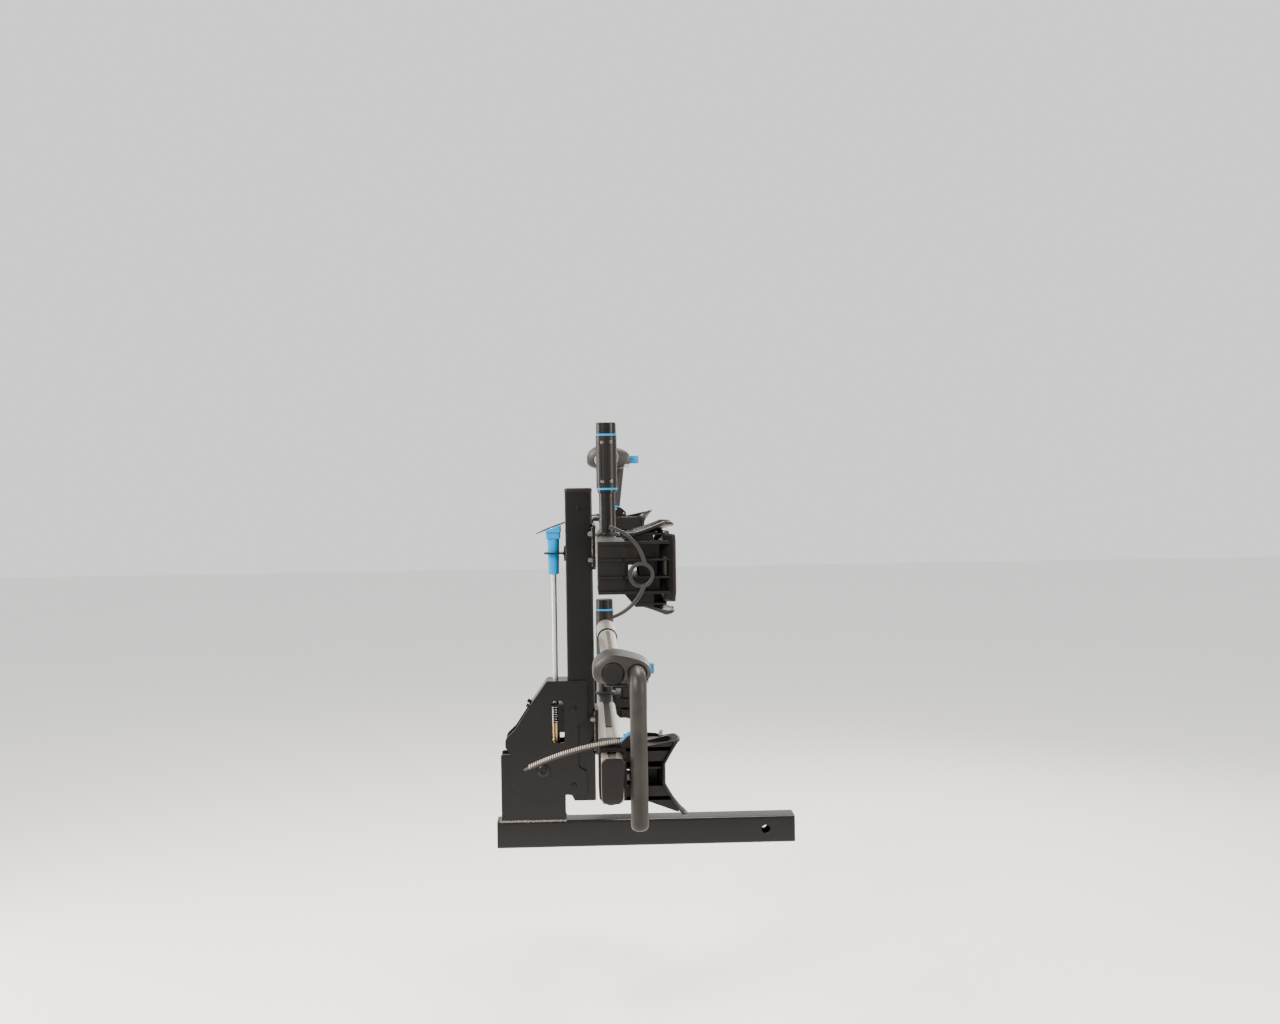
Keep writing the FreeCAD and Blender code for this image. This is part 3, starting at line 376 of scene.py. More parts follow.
@dataclass(frozen=True)
class BluePlastic:
    """Satin blue moulding for the parts that a hand works."""

    name: str = "blue_moulding"
    deep: Colour = (0.0, 0.155, 0.35)
    pale: Colour = (0.0, 0.225, 0.48)
    roughness: float = 0.38
    gloss: float = 0.14

    def build(self) -> bpy.types.Material:
        """Makes the material."""
        paint = Paint(self.name)
        flow = paint.noise(40.0, 3.0)
        grain = paint.noise(1500.0, 2.0)
        return paint.surface(Base_Color=paint.mix(flow, self.deep, self.pale),
                             Roughness=self.roughness + 0.1 * grain, Normal=paint.bump(grain, 0.008),
                             Specular_IOR_Level=self.gloss)


# ---------------------------------------------------------------- drawing


@dataclass(frozen=True)
class Place:
    """Where a drawing lies: its origin in metres, and the side that its own +Y points to."""

    origin: Vector
    side: int = 1

    def point(self, spot: Point) -> Vector:
        """The frame's point for a drawn point."""
        x, y, z = spot
        return self.origin + Vector((x, self.side * y, z)) * MM

    def drawn(self, spot: Vector) -> Vector:
        """The drawn point for a point of the frame."""
        x, y, z = (spot - self.origin) / MM
        return Vector((x, self.side * y, z))

    def box(self, node: str) -> tuple[Vector, Vector]:
        """A node's lowest and highest corners in drawn coordinates."""
        first, second = (self.drawn(corner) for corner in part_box(node))
        return (Vector(map(min, first, second)), Vector(map(max, first, second)))


def rounded_outline(low: Flat, high: Flat, radius: float, steps: int = 6) -> list[Flat]:
    """A rectangle with round corners, as points."""
    centres = [(high[0] - radius, high[1] - radius, 0), (low[0] + radius, high[1] - radius, 90),
               (low[0] + radius, low[1] + radius, 180), (high[0] - radius, low[1] + radius, 270)]
    points = []
    for u, v, start in centres:
        for step in range(steps + 1):
            angle = math.radians(start + 90.0 * step / steps)
            points.append((u + radius * math.cos(angle), v + radius * math.sin(angle)))
    return points


def circle_of(radius: float, steps: int) -> list[Flat]:
    """A circle round the origin, as points."""
    angles = [math.tau * n / steps for n in range(steps)]
    return [(radius * math.cos(angle), radius * math.sin(angle)) for angle in angles]


def arc_through(first: Flat, middle: Flat, last: Flat, steps: int) -> list[Flat]:
    """Points on the circle's arc from first through middle to last."""
    (ax, ay), (bx, by), (cx, cy) = first, middle, last
    double = 2.0 * (ax * (by - cy) + bx * (cy - ay) + cx * (ay - by))
    ux = ((ax ** 2 + ay ** 2) * (by - cy) + (bx ** 2 + by ** 2) * (cy - ay)
          + (cx ** 2 + cy ** 2) * (ay - by)) / double
    uy = ((ax ** 2 + ay ** 2) * (cx - bx) + (bx ** 2 + by ** 2) * (ax - cx)
          + (cx ** 2 + cy ** 2) * (bx - ax)) / double
    radius = math.hypot(ax - ux, ay - uy)
    start, end = math.atan2(ay - uy, ax - ux), math.atan2(cy - uy, cx - ux)
    through = math.atan2(by - uy, bx - ux)
    turn = (end - start) % math.tau
    if (through - start) % math.tau > turn:
        turn -= math.tau
    return [(ux + radius * math.cos(start + turn * step / steps),
             uy + radius * math.sin(start + turn * step / steps)) for step in range(steps + 1)]


def smooth_line(points: Sequence[Point], steps: int = 8) -> list[Vector]:
    """A smooth curve through points (Catmull-Rom)."""
    spots = [Vector(point) for point in points]
    ends = [spots[0] * 2 - spots[1], *spots, spots[-1] * 2 - spots[-2]]
    line = []
    for index in range(1, len(ends) - 2):
        before, start, end, after = ends[index - 1:index + 3]
        bend = 2 * before - 5 * start + 4 * end - after
        twist = 3 * start - before - 3 * end + after
        for step in range(steps):
            t = step / steps
            line.append(0.5 * (2 * start + (end - before) * t + bend * t ** 2 + twist * t ** 3))
    return [*line, spots[-1]]


def flat_to_space(along: Along, spot: Flat, level: float) -> tuple[float, float, float]:
    """A point of a flat drawing that lies across an axis, at a level on that axis."""
    u, v = spot
    return {Along.X: (level, u, v), Along.Y: (u, level, v), Along.Z: (u, v, level)}[along]


class Draft:
    """A mesh drawn in millimetres from closed shells."""

    def __init__(self) -> None:
        """Starts an empty drawing."""
        self.shape = bmesh.new()

    def rings(self, loops: Sequence[Sequence[Point]], closed: bool = False) -> "Draft":
        """Joins rings of points into one skin.

        Args:
            loops: rings with the same number of points each.
            closed: True joins the last ring to the first; False caps both ends.

        Returns:
            The draft itself.
        """
        rows = [[self.shape.verts.new(point) for point in loop] for loop in loops]
        pairs = list(zip(rows, rows[1:]))
        if closed:
            pairs.append((rows[-1], rows[0]))
        else:
            self.shape.faces.new(rows[0][::-1])
            self.shape.faces.new(rows[-1])
        for low, high in pairs:
            for index in range(len(low)):
                after = (index + 1) % len(low)
                self.shape.faces.new((low[index], low[after], high[after], high[index]))
        return self

    def prism(self, outline: Sequence[Flat], low: float, high: float, along: Along) -> "Draft":
        """A flat outline drawn out between two levels."""
        return self.rings([[flat_to_space(along, spot, level) for spot in outline] for level in (low, high)])

    def frame(self, outer: Sequence[Flat], inner: Sequence[Flat], low: float, high: float,
              along: Along) -> "Draft":
        """An outline with an opening of as many points, drawn out between two levels."""
        turns = ((outer, low), (outer, high), (inner, high), (inner, low))
        loops = [[flat_to_space(along, spot, level) for spot in line] for line, level in turns]
        return self.rings(loops, True)

    def turned(self, profile: Sequence[Flat], centre: Point, along: Along, hollow: bool = False,
               steps: int = CIRCLE_STEPS) -> "Draft":
        """A turned shape; profile points are (radius, level) and centre moves it."""
        middle = Vector(centre)
        loops = []
        for radius, level in profile:
            loops.append([])
            for step in range(steps):
                angle = math.tau * step / steps
                spot = flat_to_space(along, (radius * math.cos(angle), radius * math.sin(angle)), level)
                loops[-1].append(middle + Vector(spot))
        return self.rings(loops, hollow)

    def sweep(self, path: Sequence[Point], section: Sequence[Flat], across: Point,
              sizes: Sequence[float] = (), closed: bool = False) -> "Draft":
        """Sweeps a section along a path.

        Args:
            path: points of the centre line.
            section: (u, v) points; u runs along across, v along the path's normal.
            across: a direction that the section keeps.
            sizes: scale of the section at each point, or none for 1.
            closed: True where the path is a loop.

        Returns:
            The draft itself.
        """
        spots, side = [Vector(point) for point in path], Vector(across).normalized()
        last, loops = len(spots) - 1, []
        for index, spot in enumerate(spots):
            before = spots[index - 1] if index or closed else spot
            after = spots[(index + 1) % len(spots)] if index < last or closed else spot
            tangent = (after - before).normalized()
            wide = (side - tangent * side.dot(tangent)).normalized()
            up = wide.cross(tangent)
            scale = sizes[index] if len(sizes) else 1.0
            loops.append([spot + (wide * u + up * v) * scale for u, v in section])
        return self.rings(loops, closed)

    def slab(self, grid: Sequence[Sequence[Vector]], wall: float) -> "Draft":
        """A curved sheet with a wall behind its grid of points."""
        rows, columns = len(grid), len(grid[0])
        back = []
        for i in range(rows):
            back.append([])
            for j in range(columns):
                down = grid[min(i + 1, rows - 1)][j] - grid[max(i - 1, 0)][j]
                right = grid[i][min(j + 1, columns - 1)] - grid[i][max(j - 1, 0)]
                back[-1].append(grid[i][j] - down.cross(right).normalized() * wall)
        front_verts = [[self.shape.verts.new(point) for point in row] for row in grid]
        back_verts = [[self.shape.verts.new(point) for point in row] for row in back]
        for verts in (front_verts, back_verts):
            for i in range(rows - 1):
                for j in range(columns - 1):
                    self.shape.faces.new((verts[i][j], verts[i][j + 1], verts[i + 1][j + 1], verts[i + 1][j]))
        edge = [(0, j) for j in range(columns)] + [(i, columns - 1) for i in range(1, rows)]
        edge += [(rows - 1, j) for j in range(columns - 2, -1, -1)] + [(i, 0) for i in range(rows - 2, 0, -1)]
        for (i, j), (k, m) in zip(edge, edge[1:] + edge[:1]):
            self.shape.faces.new((front_verts[i][j], front_verts[k][m], back_verts[k][m], back_verts[i][j]))
        return self

    def block(self, low: Point, high: Point) -> "Draft":
        """A block between two corners."""
        outline = [(low[0], low[1]), (high[0], low[1]), (high[0], high[1]), (low[0], high[1])]
        return self.prism(outline, low[2], high[2], Along.Z)

    def socket_head(self, centre: Point, along: Along, facing: int, radius: float, tall: float,
                    key: float) -> "Draft":
        """A domed screw head with a hexagonal socket; key is the socket's radius."""
        middle, steps = Vector(centre), 24
        levels = [(radius, 0.0), (radius, tall * 0.35), (radius * 0.86, tall * 0.8), (key * 1.25, tall)]
        loops = []
        for size, level in levels:
            loops.append([middle + Vector(flat_to_space(along, (size * math.cos(math.tau * n / steps),
                                                                size * math.sin(math.tau * n / steps)),
                                                        facing * level)) for n in range(steps)])
        for level in (tall, tall * 0.3):
            loops.append([])
            for n in range(steps):
                angle = math.tau * n / steps
                reach = key * math.cos(math.pi / 6) / math.cos((angle % (math.pi / 3)) - math.pi / 6)
                corner = (reach * math.cos(angle), reach * math.sin(angle))
                loops[-1].append(middle + Vector(flat_to_space(along, corner, facing * level)))
        return self.rings(loops)

    def turn(self, angle: float, axis: str, centre: Point) -> "Draft":
        """Turns all that is drawn so far by an angle in degrees about a point."""
        middle = Vector(centre)
        turn = Matrix.Translation(middle) @ Matrix.Rotation(math.radians(angle), 4, axis)
        self.shape.transform(turn @ Matrix.Translation(-middle))
        return self

    def piece(self, name: str, material: bpy.types.Material, place: Place, bevel: float = 0.0,
              segments: int = 3) -> bpy.types.Object:
        """Ends the drawing.

        Args:
            name: the piece's name.
            material: its finish.
            place: where the drawing lies.
            bevel: width of the rounding on its sharp edges, in millimetres.
            segments: steps in that rounding.

        Returns:
            The new object, with its place in its mesh.
        """
        for vertex in self.shape.verts:
            vertex.co = place.point(vertex.co)
        bmesh.ops.recalc_face_normals(self.shape, faces=self.shape.faces[:])
        mesh = bpy.data.meshes.new(name)
        self.shape.to_mesh(mesh)
        self.shape.free()
        return as_piece(name, mesh, material, bevel, segments)


def as_piece(name: str, mesh: bpy.types.Mesh, material: bpy.types.Material, bevel: float = 0.0,
             segments: int = 3) -> bpy.types.Object:
    """A smooth shaded object from a mesh, with its sharp edges rounded."""
    mesh.materials.clear()
    mesh.materials.append(material)
    mesh.shade_smooth()
    mesh.set_sharp_from_angle(angle=SHARP_ANGLE)
    made = bpy.data.objects.new(name, mesh)
    bpy.context.scene.collection.objects.link(made)
    if bevel:
        rounding = made.modifiers.new("rounding", "BEVEL")
        rounding.width, rounding.segments = bevel * MM, segments
        rounding.limit_method, rounding.angle_limit = "ANGLE", SHARP_ANGLE
        rounding.harden_normals = True
    return made


# ---------------------------------------------------------------- geometry nodes


class Recipe:
    """A geometry nodes tree with named number inputs, which ends in plain geometry."""

    def __init__(self, name: str, numbers: dict[str, float]) -> None:
        """Starts a tree with a geometry input and the named numbers."""
        self.tree = bpy.data.node_groups.new(name, "GeometryNodeTree")
        sockets = self.tree.interface
        sockets.new_socket("Geometry", in_out="INPUT", socket_type="NodeSocketGeometry")
        for label, value in numbers.items():
            sockets.new_socket(label, in_out="INPUT", socket_type="NodeSocketFloat").default_value = value
        sockets.new_socket("Geometry", in_out="OUTPUT", socket_type="NodeSocketGeometry")
        self.inputs = self.tree.nodes.new("NodeGroupInput").outputs
        self.identifiers = {item.name: item.identifier for item in sockets.items_tree
                            if item.in_out == "INPUT" and item.name != "Geometry"}

    def node(self, kind: str, settings: Optional[dict] = None,
             inputs: Optional[dict] = None) -> bpy.types.bpy_prop_collection:
        """Adds a node: settings first, then values or links; returns its outputs."""
        made = self.tree.nodes.new(kind)
        for key, value in (settings or {}).items():
            setattr(made, key, value)
        for key, value in (inputs or {}).items():
            if isinstance(value, bpy.types.NodeSocket):
                self.tree.links.new(value, made.inputs[key])
            else:
                made.inputs[key].default_value = value
        return made.outputs

    def finish(self, geometry: bpy.types.NodeSocket, material: bpy.types.Material) -> "Recipe":
        """Realizes the instances, sets the material and ends the tree."""
        real = self.node("GeometryNodeRealizeInstances", {}, {0: geometry})
        dressed = self.node("GeometryNodeSetMaterial", {}, {"Geometry": real[0], "Material": material})
        self.node("NodeGroupOutput", {}, {0: dressed[0]})
        return self

    def bake(self, name: str, line: Sequence[Vector], closed: bool, material: bpy.types.Material,
             **numbers: float) -> bpy.types.Object:
        """Runs the tree on a line of points in metres and keeps its result as a plain mesh.

        Args:
            name: the new piece's name.
            line: the points that the pattern follows.
            closed: True where the line is a loop.
            material: the finish of the plain mesh.
            numbers: the named inputs, with underscores for spaces.

        Returns:
            The piece.
        """
        wire = bpy.data.meshes.new(name + "_line")
        links = [(index, index + 1) for index in range(len(line) - 1)]
        if closed:
            links.append((len(line) - 1, 0))
        wire.from_pydata([tuple(point) for point in line], links, [])
        source = bpy.data.objects.new(name + "_line", wire)
        bpy.context.scene.collection.objects.link(source)
        modifier = source.modifiers.new("pattern", "NODES")
        modifier.node_group = self.tree
        for label, value in numbers.items():
            modifier[self.identifiers[label.replace("_", " ")]] = value
        evaluated = source.evaluated_get(bpy.context.evaluated_depsgraph_get())
        mesh = bpy.data.meshes.new_from_object(evaluated)
        bpy.data.objects.remove(source)
        return as_piece(name, mesh, material)


def bead_recipe(material: bpy.types.Material) -> Recipe:
    """Overlapping flattened drops along a line, as in a welded bead or a ring of knurls."""
    recipe = Recipe("bead", {"Pitch": 0.003, "Radius": 0.0025, "Squash": 0.6})
    pitch, radius, squash = (recipe.inputs[label] for label in ("Pitch", "Radius", "Squash"))
    curve = recipe.node("GeometryNodeMeshToCurve", {}, {"Mesh": recipe.inputs["Geometry"]})
    spaced = recipe.node("GeometryNodeResampleCurve", {"mode": "LENGTH"},
                         {"Curve": curve[0], "Length": pitch})
    drop = recipe.node("GeometryNodeMeshUVSphere", {}, {"Segments": 12, "Rings": 7, "Radius": radius})
    smooth = recipe.node("GeometryNodeSetShadeSmooth", {}, {0: drop[0]})
    tangent = recipe.node("GeometryNodeInputTangent")
    turn = recipe.node("FunctionNodeAlignRotationToVector", {"axis": "Z"}, {"Vector": tangent[0]})
    uneven = recipe.node("FunctionNodeRandomValue", {"data_type": "FLOAT"},
                         {2: 0.88, 3: 1.12, "Seed": 7})
    shape = recipe.node("ShaderNodeCombineXYZ", {}, {"X": uneven[1], "Y": uneven[1], "Z": squash})
    placed = recipe.node("GeometryNodeInstanceOnPoints", {},
                         {"Points": spaced[0], "Instance": smooth[0], "Rotation": turn[0], "Scale": shape[0]})
    return recipe.finish(placed[0], material)


def bar_recipe(name: str, pivot: Along, material: bpy.types.Material) -> Recipe:
    """Bars across a line that bends about one axis, as strap teeth or tread ribs."""
    recipe = Recipe(name, {"Pitch": 0.0036, "Long": 0.0018, "Wide": 0.017, "Tall": 0.002})
    curve = recipe.node("GeometryNodeMeshToCurve", {}, {"Mesh": recipe.inputs["Geometry"]})
    spaced = recipe.node("GeometryNodeResampleCurve", {"mode": "LENGTH"},
                         {"Curve": curve[0], "Length": recipe.inputs["Pitch"]})
    cross = {Along.Y: ("Long", "Wide", "Tall"), Along.Z: ("Long", "Tall", "Wide")}[pivot]
    size = recipe.node("ShaderNodeCombineXYZ", {},
                       {axis: recipe.inputs[label] for axis, label in zip("XYZ", cross)})
    bar = recipe.node("GeometryNodeMeshCube", {}, {"Size": size[0]})
    tangent = recipe.node("GeometryNodeInputTangent")
    turn = recipe.node("FunctionNodeAlignRotationToVector", {"axis": "X", "pivot_axis": pivot.name},
                       {"Vector": tangent[0]})
    placed = recipe.node("GeometryNodeInstanceOnPoints", {},
                         {"Points": spaced[0], "Instance": bar[0], "Rotation": turn[0]})
    return recipe.finish(placed[0], material)


def coil_recipe(material: bpy.types.Material) -> Recipe:
    """A coil spring that stands on the line's first point."""
    recipe = Recipe("coil", {"Turns": 7.0, "Radius": 0.006, "Wire": 0.0009, "Tall": 0.033})
    radius, tall = recipe.inputs["Radius"], recipe.inputs["Tall"]
    spiral = recipe.node("GeometryNodeCurveSpiral", {},
                         {"Resolution": 26, "Rotations": recipe.inputs["Turns"], "Start Radius": radius,
                          "End Radius": radius, "Height": tall})
    wire = recipe.node("GeometryNodeCurvePrimitiveCircle", {},
                       {"Resolution": 10, "Radius": recipe.inputs["Wire"]})
    skin = recipe.node("GeometryNodeCurveToMesh", {},
                       {"Curve": spiral[0], "Profile Curve": wire[0], "Fill Caps": True})
    foot = recipe.node("GeometryNodeSampleIndex", {"data_type": "FLOAT_VECTOR", "domain": "POINT"},
                       {"Geometry": recipe.inputs["Geometry"],
                        "Value": recipe.node("GeometryNodeInputPosition")[0], "Index": 0})
    moved = recipe.node("GeometryNodeTransform", {}, {"Geometry": skin[0], "Translation": foot[0]})
    return recipe.finish(moved[0], material)


# ---------------------------------------------------------------- workshop


class Workshop:
    """The frame, the finishes and the record of what rides where."""

    def __init__(self) -> None:
        """Loads the frame and mixes the finishes."""
        self.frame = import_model()
        self.cad_box = [list(corner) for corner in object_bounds()]
        self.finish = {
            Slot.POWDER: PowderCoat().build(), Slot.PLASTIC: MouldedPlastic().build(),
            Slot.RUBBER: Rubber().build(), Slot.SILVER: Anodised().build(),
            Slot.ZINC: PlatedSteel().build(), Slot.BRASS: TurnedBrass().build(),
            Slot.BLUE: BluePlastic().build()}
        # pale beige teeth: painted highlight for the lit crest of the dark strap
        self.teeth_painted_highlight = Rubber("strap_teeth_painted_highlight", (0.36, 0.30, 0.25), (0.50, 0.42, 0.36), 0.5).build()
        self.housing = MouldedPlastic("head_housing", (0.0065, 0.0052, 0.0044), (0.0125, 0.0100, 0.0085),
                                      0.36, 0.010, 0.5).build()
        # near-black finish of the head collars and the spring sleeve: painted shade for the dark gaps round
        # them
        self.seam = MouldedPlastic("painted_gap_shade", (0.0012, 0.0010, 0.0009), (0.0024, 0.0020, 0.0018),
                                   0.7, 0.010, 0.1).build()
        # the beads' finish: a powder coat far paler than the parts', as painted highlight along the welds
        self.weld = PowderCoat("weld_with_painted_highlight", (0.020, 0.017, 0.015), (0.085, 0.072, 0.062),
                               roughness=0.2, gloss=1.0).build()
        self.rail = Anodised("slot_rail", (0.20, 0.175, 0.145), (0.11, 0.095, 0.08), 0.42).build()
        # darker plated steel for the tray studs' nuts and the sleeve screws: painted dark reflection of dark
        # surroundings
        self.steel_painted_dark_reflection = PlatedSteel("zinc_painted_dark_reflection", (0.34, 0.31, 0.28), (0.07, 0.062, 0.055), 0.20).build()
        self.bead = bead_recipe(self.weld)
        self.tread = bar_recipe("tread", Along.Z, self.finish[Slot.RUBBER])
        self.teeth = bar_recipe("teeth", Along.Y, self.teeth_painted_highlight)
        self.coil = coil_recipe(self.finish[Slot.ZINC])

    def dress(self) -> None:
        """Gives every CAD node the finish of its slot."""
        slots = self.slots = {row["node"]: Slot(row["material_slot"])
                              for row in self.frame["record"]["subparts"]}
        for name, made in self.frame["nodes"].items():
            for index in range(max(1, len(made.material_slots))):
                if not made.material_slots:
                    made.data.materials.append(None)
                # the tray studs take the darker steel: painted dark reflection
                own = self.steel_painted_dark_reflection if name == "tray_studs" else self.finish[slots[name]]
                made.material_slots[index].material = own
        LOG.info("dressed %d CAD nodes", len(slots))

    def soften(self, node: str, width: float) -> None:
        """Stands a copy of a CAD node with rounded edges in its place.

        Args:
            node: the CAD node's name.
            width: width of the rounding in millimetres.
        """
        shape = bmesh.new()
        shape.from_mesh(self.frame["nodes"][node].data)
        bmesh.ops.remove_doubles(shape, verts=shape.verts[:], dist=1e-6)
        bmesh.ops.dissolve_limit(shape, angle_limit=math.radians(0.3), verts=shape.verts[:],
                                 edges=shape.edges[:])
        mesh = bpy.data.meshes.new(f"{node}_rounded")
        shape.to_mesh(mesh)
        shape.free()
        slot = self.slots[node]
        bodies = self.frame["record"]["behaviour"]["bodies"]
        body = next(name for name, held in bodies.items() if node in held)
        piece = as_piece(f"{node}_rounded", mesh, self.finish[slot], width, 3)
        self.enter(piece, body, slot, node)

    def enter(self, piece: bpy.types.Object, body: str, slot: Slot, *replaced: str) -> bpy.types.Object:
        """Lets a piece ride on a body, hides the CAD nodes that it stands for, and reports it."""
        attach(piece, body)
        if replaced:
            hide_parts(*replaced)
        LOG.info("%s rides on %s, %d faces", piece.name, body, len(piece.data.polygons))
        return piece


# ---------------------------------------------------------------- base and mast


@dataclass
class HitchBase:
    """The bar's welds, and the pivot bolt with its nut."""

    shop: Workshop
    weld_radius: float = 2.7
    weld_pitch: float = 2.6

    def build(self) -> None:
        """Makes the base's pieces."""
        self.welds()
        self.pivot()

    def welds(self) -> None:
        """Beads along the channel's foot."""
        low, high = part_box("base_channel")
        inset = 0.4 * MM
        corners = [(high.x, low.y - inset), (low.x - inset, low.y - inset),
                   (low.x - inset, high.y + inset), (high.x, high.y + inset)]
        line = [Vector((x, y, low.z + inset)) for x, y in corners]
        # the bead takes the pale finish: painted highlight along the channel's foot
        bead = self.shop.bead.bake("base_weld", line, False, self.shop.weld,
                                   Pitch=self.weld_pitch * MM, Radius=self.weld_radius * MM, Squash=0.75)
        self.shop.enter(bead, "base", Slot.POWDER)

    def pivot(self) -> None:
        """A socket headed bolt with a collar, and a flanged hexagon nut."""
        powder, zinc = self.shop.finish[Slot.POWDER], self.shop.finish[Slot.ZINC]
        low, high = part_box("pivot_bolt")
        middle = (low + high) / 2
        place = Place(Vector((middle.x, 0.0, middle.z)))
        first, last = low.y / MM, high.y / MM
        head, radius = 5.5, (high.x - low.x) / 2 / MM
        collar = head - 2.0
        bolt = Draft().turned([(radius, first + collar), (radius, first + head), (8.0, first + head),
                               (8.0, last - 1.0), (7.0, last)], (0, 0, 0), Along.Y)
        bolt.socket_head((0, first + collar, 0), Along.Y, -1, radius - 1.5, collar, 5.2)
        turned = bolt.piece("pivot_bolt_turned", powder, place, 0.4)
        self.shop.enter(turned, "base", Slot.POWDER, "pivot_bolt")
        low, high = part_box("pivot_nut")
        nut = self.nut(low.y / MM, high.y / MM).piece("pivot_hex_nut", zinc, place, 0.5)
        self.shop.enter(nut, "base", Slot.ZINC, "pivot_nut")

    def nut(self, start: float, end: float) -> Draft:
        """A hexagon nut on a round flange, between two places along the pivot."""
        bore, flange, thick, reach, steps = 8.1, 12.9, 1.4, 12.2, 24
        nut = Draft().turned([(bore, start), (flange, start), (flange, start + thick), (bore, start + thick)],
                             (0, 0, 0), Along.Y, True)
        circle = circle_of(reach, steps)
        flats = []
        for n, spot in enumerate(circle):
            past_corner = (math.tau * n / steps) % (math.pi / 3)
            flats.append(tuple(Vector(spot) * (math.cos(math.pi / 6) / math.cos(past_corner - math.pi / 6))))
        hole = [tuple(Vector(spot).normalized() * bore) for spot in circle]
        return nut.frame(flats, hole, start + thick, end, Along.Y)


@dataclass
class Mast:
    """The mast's cap, its bolts' heads and its welds."""

    shop: Workshop
    bolt_radius: float = 5.3
    bolt_height: float = 2.4
    bolt_key: float = 2.3

    def build(self) -> None:
        """Makes the mast's pieces."""
        self.cap()
        self.bolts()
        self.welds()
        self.plunger_guide()

    def plunger_guide(self) -> None:
        """The folded guide beside the spring, between the bracket plates."""
        low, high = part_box("release_spring")
        place = Place(Vector((high.x, 0.0, low.z)))
        tall = (high.z - low.z) / MM
        draft = Draft()
        for y in (-9.0, 7.0):
            draft.block((-3.0, y, -18.0), (9.0, y + 2.0, tall))
        draft.block((7.0, -8.0, -18.0), (9.0, 8.0, tall))
        piece = draft.piece("plunger_guide", self.shop.finish[Slot.POWDER], place, 0.5, 2)
        self.shop.enter(piece, "mast", Slot.POWDER)

    def cap(self) -> None:
        """A crowned cap with a shadow line over the tube."""
        low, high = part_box("mast_cap")
        place = Place(Vector(((low.x + high.x) / 2, 0.0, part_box("mast_tube")[1].z)))
        half = (high.x - low.x) / 2 / MM
        top = (high.z - place.origin.z) / MM
        levels = [(half - 1.2, 0.0), (half - 1.2, 0.9), (half, 1.0), (half, top - 2.6),
                  (half - 0.9, top - 0.9), (half - 3.2, top - 0.2), (half - 9.0, top)]
        loops = [[(x, y, z) for x, y in rounded_outline((-size, -size), (size, size), 4.5)]
                 for size, z in levels]
        cap = Draft().rings(loops).piece("mast_cap_crowned", self.shop.finish[Slot.PLASTIC], place)
        self.shop.enter(cap, "mast", Slot.PLASTIC, "mast_cap")

    def bolts(self) -> None:
        """Cross bolts with a domed socket head at each end."""
        tube_low, tube_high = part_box("mast_tube")
        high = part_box("mast_bolts")[1]
        middle = (tube_low.x + tube_high.x) / 2
        place = Place(Vector((middle, 0.0, 0.0)))
        plate, face = high.y / MM - self.bolt_height, tube_high.y / MM
        spots = ((-14.0, 237.0, plate), (-16.0, 93.0, plate), (0.0, high.z / MM - self.bolt_radius, face))
        bolts = Draft()
        for x, z, reach in spots:
            for facing in (-1, 1):
                bolts.socket_head((x, facing * reach, z), Along.Y, facing, self.bolt_radius,
                                  self.bolt_height, self.bolt_key)
            bolts.turned([(4.0, -reach), (4.0, reach)], (x, 0, z), Along.Y, steps=24)
        piece = bolts.piece("mast_socket_bolts", self.shop.finish[Slot.POWDER], place)
        self.shop.enter(piece, "mast", Slot.POWDER, "mast_bolts")

    def welds(self) -> None:
        """Beads up both sides of the mast where the tray brackets meet it."""
        low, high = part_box("mast_tube")
        brackets_low, brackets_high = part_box("tray_brackets")
        tall, gap, inset, outset = 72.0 * MM, 6 * MM, 1.2 * MM, 2 * MM
        for tray, foot in (("lower", brackets_low.z + gap), ("upper", brackets_high.z - gap - tall)):
            for hand, y in (("right", low.y + inset), ("left", high.y - inset)):
                side = y + math.copysign(outset, y)
                line = [Vector((high.x + 0.2 * MM, side, z)) for z in (foot, foot + tall)]
                # the beads take the pale finish: painted highlight along these welds
                bead = self.shop.bead.bake(f"{tray}_bracket_weld_{hand}", line, False, self.shop.weld,
                                           Pitch=2.4 * MM, Radius=2.6 * MM, Squash=0.7)
                self.shop.enter(bead, "mast", Slot.POWDER)


